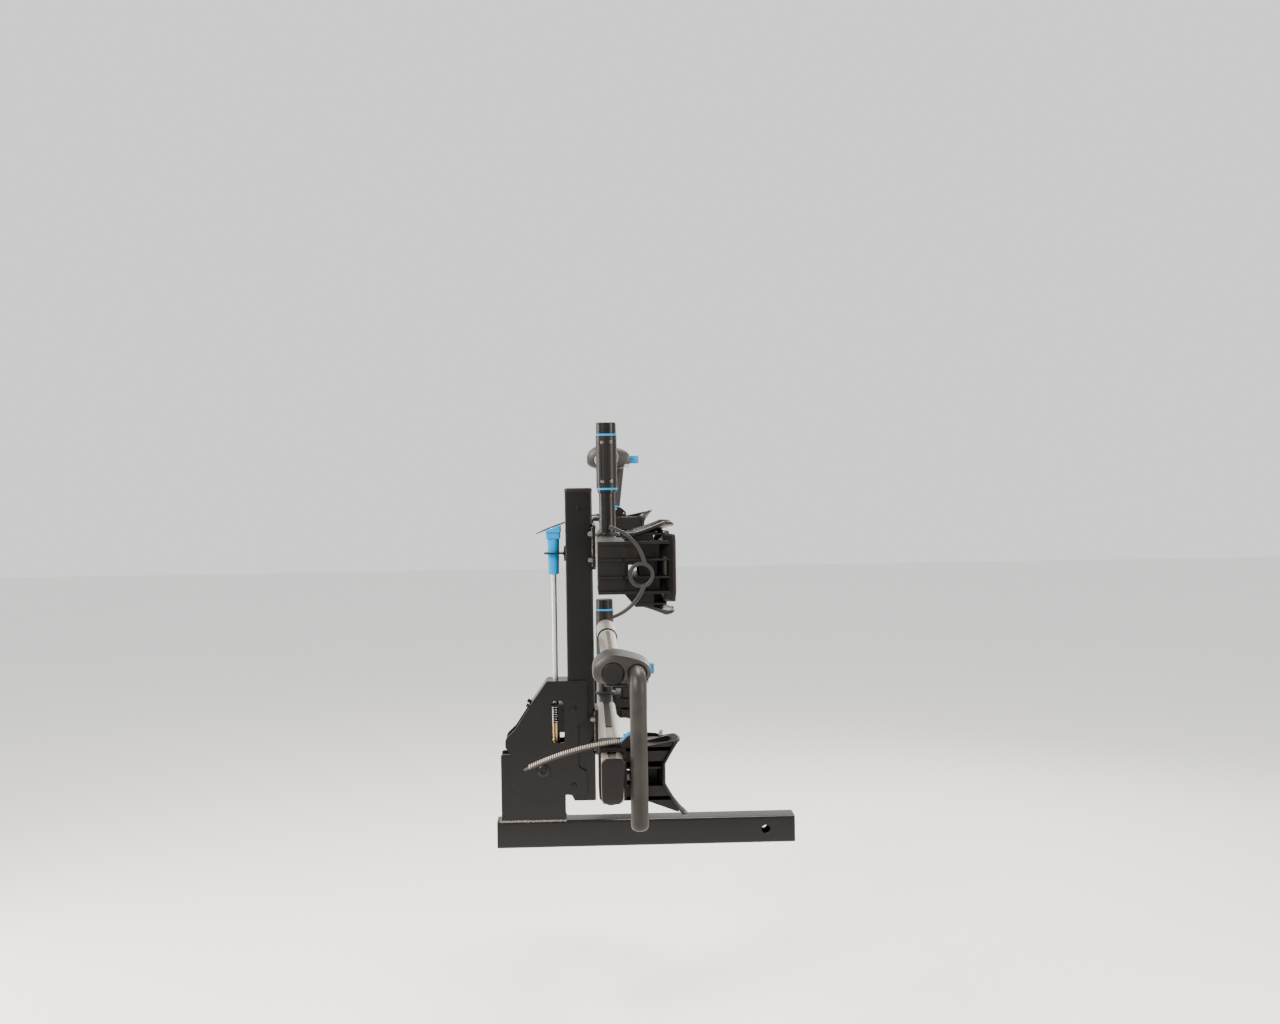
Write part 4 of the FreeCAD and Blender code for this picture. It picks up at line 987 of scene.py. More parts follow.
@dataclass
class Release:
    """Grip, paddle and spring of the lock's release."""

    shop: Workshop
    wire: float = 1.0
    turns: float = 7.0

    def build(self) -> None:
        """Makes the release's pieces."""
        low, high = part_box("release_rod")
        self.place = Place(Vector(((low.x + high.x) / 2, 0.0, 0.0)))
        self.grip()
        self.paddle()
        self.spring()

    def grip(self) -> None:
        """A smooth grip that widens upwards, with a collar."""
        low, high = self.place.box("release_grip")
        base, top = low.z, high.z
        foot = [(5.2, base), (8.4, base), (9.5, base + 0.5), (9.9, base + 1.8)]
        shaft = [(10.4, base + 28.0), (11.2, top - 15.0), (11.4, top - 12.0), (5.2, top - 12.0)]
        grip = Draft().turned([*foot, *shaft], (0, 0, 0), Along.Z, True)
        reach = (high.x - low.x) / 2 - 1.0
        bore = circle_of(5.2, 28)
        loops = []
        for size, z in ((reach - 1.6, top - 12.5), (reach, top - 10.0), (reach, top)):
            outline = rounded_outline((-size, -size), (size, size), 3.5)
            loops.append([(u, v, z) for u, v in outline])
        inside = [[(u, v, z) for u, v in bore] for z in (top, top - 12.5)]
        grip.rings([*loops, *inside], True)
        piece = grip.piece("grip_with_head", self.shop.finish[Slot.BLUE], self.place, 0.7, 3)
        self.shop.enter(piece, "release", Slot.BLUE, "release_grip")

    def paddle(self) -> None:
        """The slanted thumb pad on the grip's head, with a raised rim and grip ribs."""
        low, high = self.place.box("release_paddle")
        half, rise = (high.x - low.x) / 2, high.z - low.z
        slope = (rise - 3.5) / (2 * half)
        loops = []
        for inset, sink in ((0.0, None), (0.0, 0.8), (0.9, 0.0), (2.4, 0.0), (3.2, 1.2)):
            outline = rounded_outline((-half + inset, low.y + inset), (half - inset, high.y - inset), 3.0)
            loops.append([(x, y, low.z if sink is None else low.z + 3.5 + slope * (x + half) - sink)
                          for x, y in outline])
        draft = Draft().rings(loops)
        for n in range(5):
            x = -half + 6.0 + n * (2 * half - 12.0) / 4.0
            z = low.z + 3.5 + slope * (x + half)
            draft.block((x - 0.8, low.y + 4.5, z - 2.0), (x + 0.8, high.y - 4.5, z - 0.2))
        piece = draft.piece("thumb_pad", self.shop.finish[Slot.BLUE], self.place, 0.4, 2)
        self.shop.enter(piece, "release", Slot.BLUE, "release_paddle")

    def spring(self) -> None:
        """A coil spring between the plunger and its seat."""
        low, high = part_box("release_spring")
        radius = (high.x - low.x) / 2 - self.wire * MM
        foot = Vector(((low.x + high.x) / 2, 0.0, low.z + self.wire * MM))
        coil = self.shop.coil.bake("release_coil", [foot, foot + Vector((0, 0, MM))], False,
                                   self.shop.finish[Slot.ZINC], Turns=self.turns, Radius=radius,
                                   Wire=self.wire * MM, Tall=high.z - low.z - 2 * self.wire * MM)
        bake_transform(coil)
        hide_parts("release_spring")
        bottom, top = low.z / MM, high.z / MM
        # a near-black sleeve inside the coil: painted shade for the dark inside of the bracket's window
        inner, outer = 5.02, 5.3
        sleeve = Draft().turned([(inner, bottom), (outer, bottom), (outer, top - 2.0), (inner, top - 2.0)],
                                (0, 0, 0), Along.Z, True)
        dark = sleeve.piece("spring_window_painted_shade", self.shop.seam, self.place)
        self.shop.enter(dark, "release", Slot.PLASTIC)


# ---------------------------------------------------------------- trays


@dataclass(frozen=True)
class Channel:
    """The flared channel under a tyre, swept round the wheel's axle."""

    middle: float
    half: float
    floor: float = 120.0
    wheel: float = 345.0
    wall: float = 4.4
    floor_half: float = 15.0
    wing_rise: float = 46.0
    wing_half: float = 64.0
    upper_half: float = 54.0
    end_half: float = 44.0
    lower_extra: float = 10.0
    lobe_at: float = 0.58
    lobe_wide: float = 0.52
    rise_left: float = 0.22
    close: float = 0.0
    flute: float = 0.0
    across: int = 40
    along: int = 44

    def lobe(self, along: float) -> float:
        """How far the wings are out, 0 to 1, at a share of the length from the middle."""
        return 1.0 / (1.0 + abs((along - self.lobe_at) / self.lobe_wide) ** 5)

    def section(self, level: float, along: float = 0.0) -> float:
        """The channel's x for a height off its centre line, at a share of its length from the middle."""
        flare = min(1.3, max(0.0, abs(level) - self.floor_half) / (self.wing_half - self.floor_half))
        rise = self.wing_rise * (self.rise_left + (1.0 - self.rise_left) * self.lobe(along))
        ending = self.close * max(0.0, abs(along) - 0.62) / 0.38
        ripple = self.flute * min(1.0, flare * 2.0) * math.cos(math.tau * 4.5 * along)
        return self.floor + max(rise * (0.85 * flare + 0.15 * flare ** 2), ending) + ripple

    def swept(self, x: float, y: float) -> float:
        """The x at a place along the channel of what is at x in its middle."""
        axle = self.floor + self.wheel
        return axle - math.sqrt(max(1.0, (axle - x) ** 2 - (y - self.middle) ** 2))

    def back(self, y: float, level: float) -> float:
        """The x just inside the back of the wall."""
        return self.swept(self.section(level, (y - self.middle) / self.half) - 0.7 * self.wall, y)

    def sheet(self) -> list[list[Vector]]:
        """The grid of the channel's inner face, whose wings are rounded petals."""
        grid = []
        for i in range(self.along + 1):
            v = 2.0 * i / self.along - 1.0
            reach = self.end_half + (self.upper_half - self.end_half) * self.lobe(v)
            row = []
            for j in range(self.across + 1):
                share = 2.0 * j / self.across - 1.0
                level = (reach + (self.lower_extra if share < 0 else 0.0)) * share
                y = self.middle + self.half * v
                row.append(Vector((self.swept(self.section(level, v), y), y, level)))
            grid.append(row)
        return grid

    def draw(self, draft: Draft) -> None:
        """Adds the channel's wall and the bead round its rim."""
        grid = self.sheet()
        draft.slab(grid, self.wall)
        right = [row[-1] for row in grid[1:-1]]
        left = [row[0] for row in grid[-2:0:-1]]
        rim = grid[0] + right + grid[-1][::-1] + left
        circle = circle_of(2.7, 10)
        draft.sweep([point + Vector((-1.8, 0, 0)) for point in rim], circle, (1, 0.02, 0.03), (), True)

    def shelf(self, draft: Draft, level: float, thick: float, rear: float, ends: Flat) -> None:
        """Adds a flat rib from the rear to the channel's back between two places along it."""
        steps = 12
        edge = []
        for n in range(steps + 1):
            y = ends[0] + (ends[1] - ends[0]) * n / steps
            edge.append((self.back(y, level + thick / 2), y))
        draft.prism([(rear, ends[0]), *edge, (rear, ends[1])], level, level + thick, Along.Z)

    def wall_across(self, draft: Draft, y: float, thick: float, rear: float, levels: Flat) -> None:
        """Adds an upright web from the rear to the channel's back between two heights."""
        steps = 8
        edge = []
        for n in range(steps + 1):
            level = levels[0] + (levels[1] - levels[0]) * n / steps
            edge.append((self.back(y, level), level))
        draft.prism([(rear, levels[0]), *edge, (rear, levels[1])], y, y + thick, Along.Y)


@dataclass
class FrontCradle:
    """The ribbed front wheel cradle with its channel, tread and rubber strap."""

    shop: Workshop
    tray: str
    place: Place
    shelves: tuple[Flat, ...] = ((32.5, 4.5), (8.0, 3.0), (-18.0, 3.0), (-41.5, 4.5))
    sleeve: float = 5.0
    wall: float = 3.5
    walled: Flat = (-39.0, 35.0)
    window: Flat = (74.0, 90.5)
    flute: float = 1.2
    cupping: float = 7.5

    def build(self) -> None:
        """Makes the cradle's pieces."""
        low, high = self.place.box(f"{self.tray}_front_cradle")
        channel = Channel((low.y + high.y) / 2, (high.y - low.y) / 2 - 1.5, floor_half=38.0, wing_rise=13.0,
                          wing_half=56.0, upper_half=49.0, lower_extra=6.0, lobe_at=0.0, lobe_wide=0.62,
                          rise_left=0.5, close=14.0, flute=1.0)
        self.body(channel)
        self.treads(channel)
        self.strap()

    def body(self, channel: Channel) -> None:
        """The sleeve on the beam, shelves, webs, slanted end panel and channel in one moulding."""
        draft = Draft()
        beam_low, beam_high = self.place.box(f"{self.tray}_front_beam")
        start, end = channel.middle - 60.0, beam_high.y + 13.5
        rear, front = beam_low.x - self.sleeve, beam_high.x + self.sleeve
        tall = beam_high.z + self.sleeve
        outer = rounded_outline((rear, -tall), (front, tall), 6.0)
        inner = rounded_outline((beam_low.x + 0.1, beam_low.z + 0.1),
                                (beam_high.x - 0.1, beam_high.z - 0.1), 4.0)
        draft.frame(outer, inner, start, beam_high.y - 4.0, Along.Y)
        draft.prism(outer, beam_high.y - 4.0, end - 6.0, Along.Y)
        for level, thick in self.shelves:
            edge = rear if abs(level) > 30.0 else front - 3.0
            channel.shelf(draft, level, thick, edge, (start, end))
            if edge != rear:
                draft.block((rear, end - 8.0, level), (front, end, level + thick))
        for y in (start, channel.middle):
            self.cross_wall(draft, channel, y, front - 3.0)
        for level, rear_edge in ((-59.0, 84.0), (45.0, 76.0)):
            channel.shelf(draft, level, 3.0, rear_edge, (start + 6.0, end - 16.0))
        for y in (start + 12.0, start + 50.0, end - 20.0):
            for corner, level, foot in ((84.0, -62.0, -41.0), (76.0, 49.0, 36.0)):
                gusset = [(front - 2.0, foot), (corner, level), (112.0, level), (112.0, foot)]
                draft.prism(gusset, y, y + 3.0, Along.Y)
        self.end_panel(draft, rear, end)
        self.petal(draft, channel.middle + 6.0, (74.0, 47.0), (142.0, 61.0), (58.0, 42.0))
        self.petal(draft, channel.middle + 6.0, (88.0, -59.0), (142.0, -71.0), (50.0, 36.0))
        channel.draw(draft)
        for y in (start + 22.0, start + 44.0, start + 88.0, start + 110.0):
            channel.wall_across(draft, y, 2.2, 96.0, (8.0, 35.0))
            channel.wall_across(draft, y, 2.2, 96.0, (-39.0, -16.0))
        piece = draft.piece(f"{self.tray}_cradle_moulding", self.shop.finish[Slot.PLASTIC], self.place,
                            0.8, 2)
        self.shop.enter(piece, "mast", Slot.PLASTIC, f"{self.tray}_front_cradle")

    def cross_wall(self, draft: Draft, channel: Channel, y: float, rear: float) -> None:
        """Adds an upright wall across the tray, with the window through it."""
        left, right = self.window
        low, high = self.walled
        channel.wall_across(draft, y, self.wall, right, self.walled)
        draft.block((rear, y, low), (left, y + self.wall, high))
        draft.block((left - 1.0, y, 5.0), (right + 1.0, y + self.wall, high))
        draft.block((left - 1.0, y, low), (right + 1.0, y + self.wall, -18.0))
        channel.wall_across(draft, y, self.wall, 88.0, (-60.0, low + 1.0))

    def petal(self, draft: Draft, middle: float, root: Flat, tip: Flat, spread: Flat) -> None:
        """Adds a fluted wing that leans out from the cradle's flank.

        Args:
            draft: the cradle's drawing.
            middle: its place along the tray.
            root: (x, z) of its root.
            tip: (x, z) of its tip.
            spread: half its length at the root and at the tip.
        """
        rows, columns, flutes = 18, 44, 4.5
        grid = []
        for i in range(rows + 1):
            u = i / rows
            rooted, faded = min(1.0, 2.5 * u), max(0.0, 1.0 - (u / 0.85) ** 3)
            row = []
            for j in range(columns + 1):
                v = 2.0 * j / columns - 1.0
                reach = u * (1.0 - 0.22 * v ** 4)
                half = spread[0] + (spread[1] - spread[0]) * u ** 1.5
                wave = self.flute * (tip[1] > 0) * math.cos(math.tau * flutes * v / 2)
                ripple = wave * rooted * faded
                x = root[0] + (tip[0] - root[0]) * reach
                z = root[1] + (tip[1] - root[1]) * reach ** 1.6
                z += math.copysign(ripple - self.cupping * u * v * v, tip[1])
                row.append(Vector((x, middle + v * half, z)))
            grid.append(row if tip[1] > 0 else row[::-1])
        draft.slab(grid, 4.2)
        rim = [row[0] for row in grid[4:-1]] + grid[-1] + [row[-1] for row in grid[-2:3:-1]]
        circle = circle_of(3.3, 12)
        drop = Vector((0.0, 0.0, -math.copysign(2.0, tip[1])))
        draft.sweep([point + drop for point in rim], circle, (0.02, 0.03, 1))

    def end_panel(self, draft: Draft, rear: float, end: float) -> None:
        """The outer panel, which falls back from the shelves' edges towards the channel."""
        face = [(rear, end - 3.0), (62.0, end - 5.0), (self.window[0], end - 8.0),
                (self.window[1], end - 16.0), (118.0, end - 22.0)]
        bands = ((11.0, 33.0, None), (1.5, 8.0, None), (-15.0, 1.5, self.window), (-37.0, -18.0, None))
        for low, high, gap in bands:
            parts = [face] if gap is None else [face[:3], face[3:]]
            for part in parts:
                back = [(x, y - self.wall) for x, y in reversed(part)]
                draft.prism([*part, *back], low, high, Along.Z)

    def treads(self, channel: Channel) -> None:
        """Rubber ribs across the channel's floor."""
        line = []
        for n in range(25):
            y = channel.middle + (channel.half - 6.0) * (n / 12.0 - 1.0)
            line.append(self.place.point((channel.swept(channel.floor, y) + 0.9, y, 0.0)))
        piece = self.shop.tread.bake(f"{self.tray}_cradle_tread", line, False, self.shop.finish[Slot.RUBBER],
                                     Pitch=6.0 * MM, Long=3.0 * MM, Wide=27.0 * MM, Tall=3.4 * MM)
        self.shop.enter(piece, "mast", Slot.RUBBER)

    def strap(self) -> None:
        """The rubber strap with a finger ring, hooked over both flanks."""
        low, high = self.place.box(f"{self.tray}_tyre_strap")
        y, half = (low.y + high.y) / 2, (high.y - low.y) / 2
        centre, radius = (92.0, -12.0), 16.5
        section = rounded_outline((-half, -3.0), (half, 3.0), 2.4, 5)
        upper = arc_through((46.0, 59.0), (80.0, 39.0), (97.0, 4.0), 26)
        lower = arc_through((96.0, -27.0), (80.0, -54.0), (45.0, -75.0), 26)
        draft = Draft()
        for line, tip_first in ((upper, True), (lower, False)):
            sizes = []
            for n in range(len(line)):
                share = n / (len(line) - 1)
                to_tip = share if tip_first else 1.0 - share
                bulb = 0.35 * math.exp(-(to_tip / 0.035) ** 2)
                sizes.append(0.78 + 0.34 * to_tip + bulb)
            draft.sweep([(x, y, z) for x, z in line], section, (0, 1, 0), sizes)
        ring = [(centre[0] + radius * math.cos(math.tau * n / 40), y,
                 centre[1] + radius * math.sin(math.tau * n / 40)) for n in range(40)]
        draft.sweep(ring, section, (0, 1, 0), (), True)
        piece = draft.piece(f"{self.tray}_tyre_strap_moulding", self.shop.finish[Slot.RUBBER], self.place)
        self.shop.enter(piece, "mast", Slot.RUBBER, f"{self.tray}_tyre_strap")


@dataclass
class RearHolder:
    """The sliding rear wheel holder with its ladder strap, buckle and lever."""

    shop: Workshop
    tray: str
    place: Place
    pin: Flat = (80.0, 58.5)

    def build(self) -> None:
        """Makes the holder's pieces."""
        low, high = self.place.box(f"{self.tray}_rear_holder")
        channel = Channel((low.y + high.y) / 2, (high.y - low.y) / 2 - 1.5, floor=126.0, wing_rise=40.0,
                          wing_half=68.0, lower_extra=14.0)
        self.yoke(channel)
        self.treads(channel)
        self.strap()
        self.buckle()
        self.lever()
        self.knob()

    def yoke(self, channel: Channel) -> None:
        """The yoke round the beam, its arms, ribs and channel in one moulding."""
        draft = Draft()
        low, high = self.place.box(f"{self.tray}_rear_beam")
        start, end = channel.middle - 25.0, channel.middle + channel.half
        outer = rounded_outline((low.x - 3.8, low.z - 7.0), (high.x + 6.4, high.z + 7.0), 8.0)
        inner = rounded_outline((low.x - 0.4, low.z - 0.4), (high.x + 0.4, high.z + 0.4), 2.5)
        draft.frame(outer, inner, start, end, Along.Y)
        top = high.z + 0.4
        for level in (top, -top - 6.6):
            channel.shelf(draft, level, 6.6, 58.0, (start, end - 2.0))
        for level, thick in ((22.0, 3.0), (7.0, 3.0), (-27.0, 3.0)):
            channel.shelf(draft, level, thick, high.x + 5.0, (start - 25.0, end - 6.0))
        for y in (start - 25.0, start + 12.0, start + 50.0):
            channel.wall_across(draft, y, 3.5, high.x + 5.0, (8.0, 24.0))
            channel.wall_across(draft, y, 3.5, high.x + 14.0, (-27.0, 8.0))
        for y in (start, start + 30.0, end - 6.0):
            channel.wall_across(draft, y, 3.5, high.x + 6.0, (24.0, top + 1.0))
            channel.wall_across(draft, y, 3.5, high.x + 6.0, (-top - 1.0, -26.0))
        webs = ((end - 5.5, (50.0, 60.0)), (start + 42.0, (50.0, 60.0)), (start - 38.0, (40.0, 49.0)))
        for y, reach in webs:
            self.end_web(draft, channel, y, reach, (high.x + 5.0, top + 5.0))
        channel.draw(draft)
        piece = draft.piece(f"{self.tray}_holder_moulding", self.shop.finish[Slot.PLASTIC], self.place,
                            0.8, 2)
        self.shop.enter(piece, f"{self.tray}_holder", Slot.PLASTIC, f"{self.tray}_rear_holder")

    def treads(self, channel: Channel) -> None:
        """Rubber ribs across the channel's floor."""
        line = []
        for n in range(25):
            y = channel.middle + (channel.half - 6.0) * (n / 12.0 - 1.0)
            line.append(self.place.point((channel.swept(channel.floor, y) + 0.9, y, 0.0)))
        piece = self.shop.tread.bake(f"{self.tray}_holder_tread", line, False, self.shop.finish[Slot.RUBBER],
                                     Pitch=6.0 * MM, Long=3.0 * MM, Wide=27.0 * MM, Tall=3.4 * MM)
        self.shop.enter(piece, f"{self.tray}_holder", Slot.RUBBER)

    def end_web(self, draft: Draft, channel: Channel, y: float, reach: Flat, foot: Flat) -> None:
        """Adds an upright web that backs both wings, from the yoke out to the wings' lips.

        Args:
            draft: the holder's drawing.
            channel: the channel it backs.
            y: the web's place along the tray.
            reach: how far it goes up and down from the middle.
            foot: (x, z) of its corner on the yoke.
        """
        for sign, out in zip((1, -1), reach):
            levels = [sign * (20.0 + (out - 20.0) * n / 10) for n in range(11)]
            back = [(channel.back(y, level), level) for level in levels]
            lip = (back[-1][0] - 7.0, sign * (out + 2.5))
            shoulder = (min(foot[0] + 34.0, lip[0] - 8.0), sign * (foot[1] + 3.0))
            base = [shoulder, (foot[0], sign * foot[1]), (foot[0], sign * 20.0)]
            draft.prism([*back, lip, *base], y, y + 3.5, Along.Y)

    def strap_line(self) -> tuple[list[Flat], float, float]:
        """The strap's (x, z) line, its place along the tray and half its width."""
        low, high = self.place.box(f"{self.tray}_ladder_strap")
        line = arc_through((100.0, 51.5), (31.0, 45.5), (-84.0, 11.0), 40)
        return [*line, (-93.0, 7.6)], (low.y + high.y) / 2, (high.y - low.y) / 2

    def strap(self) -> None:
        """The ladder strap: a flexible band, a thin loop under the buckle and moulded teeth."""
        line, y, half = self.strap_line()
        body = f"{self.tray}_holder"
        section = rounded_outline((-half, -1.5), (half, 1.5), 1.2, 3)
        path = [(x, y, z) for x, z in line]
        sizes = [1.0] * (len(path) - 3) + [0.96, 0.84, 0.55]
        draft = Draft().sweep(path, section, (0, 1, 0), sizes)
        loop = smooth_line([(72.0, y, 47.0), (66.0, y, 44.4), (54.0, y, 44.6), (38.0, y, 44.9)])
        draft.sweep(loop, rounded_outline((-half + 3.0, -0.7), (half - 3.0, 0.7), 0.6, 2), (0, 1, 0))
        band = draft.piece(f"{self.tray}_strap_band", self.shop.finish[Slot.RUBBER], self.place)
        self.shop.enter(band, body, Slot.RUBBER, f"{self.tray}_ladder_strap")
        # the teeth along the crest take the pale finish: painted highlight
        crest = [self.place.point((x, y, z + 2.3)) for x, z in line[:-1]]
        teeth = self.shop.teeth.bake(f"{self.tray}_strap_teeth_painted_highlight", crest, False, self.shop.teeth_painted_highlight,
                                     Pitch=3.6 * MM, Long=1.5 * MM, Wide=2 * (half - 1.8) * MM, Tall=2.6 * MM)
        self.shop.enter(teeth, body, Slot.RUBBER)

    def buckle(self) -> None:
        """The ratchet buckle: two cheeks, a floor, a roller and the lever's pin."""
        low, high = self.place.box(f"{self.tray}_strap_buckle")
        body = f"{self.tray}_holder"
        cheek = [(low.x, low.z), (high.x, low.z), (high.x, low.z + 8.0), (high.x - 7.0, high.z - 3.0),
                 (high.x - 12.0, high.z), (low.x + 12.0, high.z), (low.x + 4.0, high.z - 6.0),
                 (low.x, low.z + 7.0)]
        draft = Draft()
        for start in (low.y, high.y - 2.5):
            draft.prism(cheek, start, start + 2.5, Along.Y)
        draft.prism([(low.x, low.z), (high.x, low.z), (high.x, low.z + 2.6), (low.x, low.z + 2.6)],
                    low.y + 1.0, high.y - 1.0, Along.Y)
        frame = draft.piece(f"{self.tray}_buckle_frame", self.shop.finish[Slot.PLASTIC], self.place, 0.6, 2)
        self.shop.enter(frame, body, Slot.PLASTIC, f"{self.tray}_strap_buckle")
        pins = Draft()
        for x, z, radius in ((*self.pin, 2.0), (high.x - 5.0, low.z + 6.0, 1.6)):
            pins.turned([(radius - 0.4, low.y - 0.8), (radius, low.y - 0.4), (radius, high.y + 0.4),
                         (radius - 0.4, high.y + 0.8)], (x, 0, z), Along.Y, steps=24)
        steel = pins.piece(f"{self.tray}_buckle_pins", self.shop.finish[Slot.ZINC], self.place)
        self.shop.enter(steel, body, Slot.ZINC)

    def lever(self) -> None:
        """The S curved thumb lever."""
        low, high = self.place.box(f"{self.tray}_buckle_lever")
        y, half = (low.y + high.y) / 2, (high.y - low.y) / 2
        bends = ((90.0, 62.0), (84.0, 63.4), (77.0, 62.6), (71.5, 58.8), (68.0, 54.0), (64.0, 51.6))
        line = smooth_line([(x, y, z) for x, z in bends])
        count = len(line) - 1
        sizes = [0.8 + 0.35 * math.sin(math.pi * n / count) for n in range(count + 1)]
        draft = Draft().sweep(line, rounded_outline((-half * 0.86, -1.7), (half * 0.86, 1.7), 1.4, 4),
                              (0, 1, 0), sizes)
        eye, ends = (2.1, 4.0), (y - half * 0.8, y + half * 0.8)
        draft.turned([(eye[0], ends[0]), (eye[1], ends[0]), (eye[1], ends[1]), (eye[0], ends[1])],
                     (self.pin[0], 0, self.pin[1]), Along.Y, True, 28)
        piece = draft.piece(f"{self.tray}_thumb_lever", self.shop.finish[Slot.BLUE], self.place, 0.4, 2)
        self.shop.enter(piece, f"{self.tray}_buckle_lever", Slot.BLUE, f"{self.tray}_buckle_lever")

    def knob(self) -> None:
        """The clamp knob under the yoke, with a fluted rim."""
        low, high = self.place.box(f"{self.tray}_holder_knob")
        centre = ((low.x + high.x) / 2, (low.y + high.y) / 2)
        radius, steps = (high.x - low.x) / 2, 60
        loops = []
        for share, level in ((0.72, high.z), (1.0, high.z - 1.5), (1.0, low.z + 2.0), (0.9, low.z + 0.6),
                             (0.6, low.z)):
            loops.append([])
            for n in range(steps):
                angle = math.tau * n / steps
                reach = radius * share * (1.0 - 0.07 * (1.0 + math.cos(8 * angle)) * (share > 0.8))
                x, y = centre[0] + reach * math.cos(angle), centre[1] + reach * math.sin(angle)
                loops[-1].append((x, y, level))
        knob = Draft().rings(loops)
        piece = knob.piece(f"{self.tray}_fluted_knob", self.shop.finish[Slot.PLASTIC], self.place)
        self.shop.enter(piece, f"{self.tray}_holder", Slot.PLASTIC, f"{self.tray}_holder_knob")


@dataclass
class WheelArm:
    """The swinging arm's head, hook, lever and small fittings."""

    shop: Workshop
    tray: str
    place: Place
    hook_radius: float = 14.0
    hook_bend: float = 28.0
    lever_tuck: float = 11.0
    peak: float = 0.34
    belly: float = 0.84

    def build(self) -> None:
        """Makes the arm's pieces."""
        self.head()
        self.hook()
        self.lever()
        self.end_ring()
        self.sleeve_fittings()
        self.slot_rail()
        self.post_weld()

    def head(self) -> None:
        """The rounded housing with collars, a foot lip and a small screw."""
        low, high = self.place.box(f"{self.tray}_arm_head")
        body = f"{self.tray}_extension"
        middle, reach = (low + high) / 2, (high - low) / 2
        turns, levels = 56, 22
        loops = []
        for n in range(levels + 1):
            v = -1.0 + 2.0 * n / levels
            round_off = (1.0 - abs(v) ** 4.5) ** (1 / 4.5) if abs(v) < 1.0 else 0.0
            swell = 0.80 + 0.20 * round_off
            lift = 1.0 + 0.06 * (1.0 - v * v)
            wide, tall = (reach.x - 1.0) * swell, (reach.z - 0.5) * (0.72 + 0.28 * round_off)
            ring = []
            for k in range(turns):
                angle = math.tau * k / turns
                c, s = math.cos(angle), math.sin(angle)
                x = math.copysign(abs(c) ** 0.66, c) * wide
                z = math.copysign(abs(s) ** 0.72, s) * tall * (1.0 - 0.12 * (c > 0) * c * c)
                if s > 0:
                    z *= lift * (1.0 + self.peak * math.exp(-((x + 15.0) / 30.0) ** 2))
                else:
                    z *= self.belly
                ring.append((middle.x + x, middle.y + v * reach.y, middle.z + z))
            loops.append(ring)
        draft = Draft().rings(loops)
        housing = draft.piece(f"{self.tray}_head_housing", self.shop.housing, self.place, 1.2, 3)
        self.shop.enter(housing, body, Slot.PLASTIC, f"{self.tray}_arm_head")
        self.head_details(low, high, middle, body)

    def head_details(self, low: Vector, high: Vector, middle: Vector, body: str) -> None:
        """Near-black collars as painted shade in the gaps round the tube and the hook, lip and screw of the
        housing.
        """
        tube_low, tube_high = self.place.box(f"{self.tray}_arm_inner_tube")
        tube = ((tube_low.x + tube_high.x) / 2, (tube_low.z + tube_high.z) / 2)
        radius = (tube_high.x - tube_low.x) / 2
        hook_x = self.place.box(f"{self.tray}_wheel_hook")[1].x - self.hook_radius
        collars = Draft()
        for inner, outer, centre, start, end in (
                (radius, radius + 1.7, tube, low.y - 0.6, low.y + 8.0),
                (self.hook_radius + 0.2, self.hook_radius + 2.0, (hook_x, tube[1]), low.y - 0.6, low.y + 8.0),
                (radius, radius + 1.6, tube, high.y - 6.0, high.y + 1.0)):
            profile = [(inner, start), (outer - 0.8, start), (outer, start + 0.8), (outer, end), (inner, end)]
            collars.turned(profile, (centre[0], 0, centre[1]), Along.Y, True)
        # the collars take the near-black finish: painted shade where the tube and hook enter the housing
        dark = collars.piece(f"{self.tray}_head_painted_shade_collars", self.shop.seam, self.place, 0.3, 2)
        self.shop.enter(dark, body, Slot.PLASTIC)
        foot = middle.z - (high.z - low.z) / 2 * self.belly
        outline = rounded_outline((low.x + 20.0, low.y + 1.5), (middle.x + 14.0, high.y - 6.0), 9.0)
        lip = Draft().prism(outline, foot - 0.4, foot + 1.8, Along.Z)
        edge = lip.piece(f"{self.tray}_head_lip", self.shop.housing, self.place, 0.6, 2)
        self.shop.enter(edge, body, Slot.PLASTIC)
        screw = Draft().socket_head((high.x - 7.0, low.y + 4.2, low.z + 10.0), Along.Y, -1, 3.6, 2.6, 1.7)
        screw.socket_head((high.x - 12.0, high.y - 4.2, low.z + 12.0), Along.Y, 1, 3.6, 2.6, 1.7)
        steel = screw.piece(f"{self.tray}_head_screws", self.shop.finish[Slot.ZINC], self.place)
        self.shop.enter(steel, body, Slot.ZINC)

    def hook(self) -> None:
        """The rubber covered hook, slightly thicker towards its rolled tip."""
        low, high = self.place.box(f"{self.tray}_wheel_hook")
        radius, bend = self.hook_radius, self.hook_bend
        lean = math.degrees(math.atan2(high.x - low.x - 2 * radius, high.z - low.z - 2 * radius))
        axis_x, axis_z = high.x - radius, high.z - radius
        leg, drop = low.y + radius, high.z - low.z - radius
        drop = (drop - radius) / math.cos(math.radians(lean))
        path = [(axis_x, high.y, axis_z), (axis_x, leg + bend + 1.0, axis_z)]
        for n in range(13):
            angle = math.pi / 2 * n / 12
            path.append((axis_x, leg + bend - bend * math.sin(angle), axis_z - bend + bend * math.cos(angle)))
        steps = 30
        for n in range(1, steps + 1):
            path.append((axis_x, leg, axis_z - bend - (drop - bend) * n / steps))
        for share in (0.35, 0.65, 0.85, 0.96, 1.0):
            path.append((axis_x, leg, axis_z - drop - (radius - 1.0) * share))
        count = len(path)
        sizes = []
        for n in range(count - 5):
            share = max(0.0, (n - 15) / (count - 20))
            sizes.append(0.955 + 0.06 * share + 0.03 * math.exp(-((share - 0.985) / 0.02) ** 2))
        sizes += [1.0, 0.93, 0.78, 0.55, 0.30]
        circle = circle_of(radius, 40)
        draft = Draft().sweep(path, circle, (1, 0, 0), sizes)
        draft.turn(lean, "Y", (axis_x, 0, axis_z))
        piece = draft.piece(f"{self.tray}_hook_cover", self.shop.finish[Slot.RUBBER], self.place)
        self.shop.enter(piece, f"{self.tray}_extension", Slot.RUBBER, f"{self.tray}_wheel_hook")

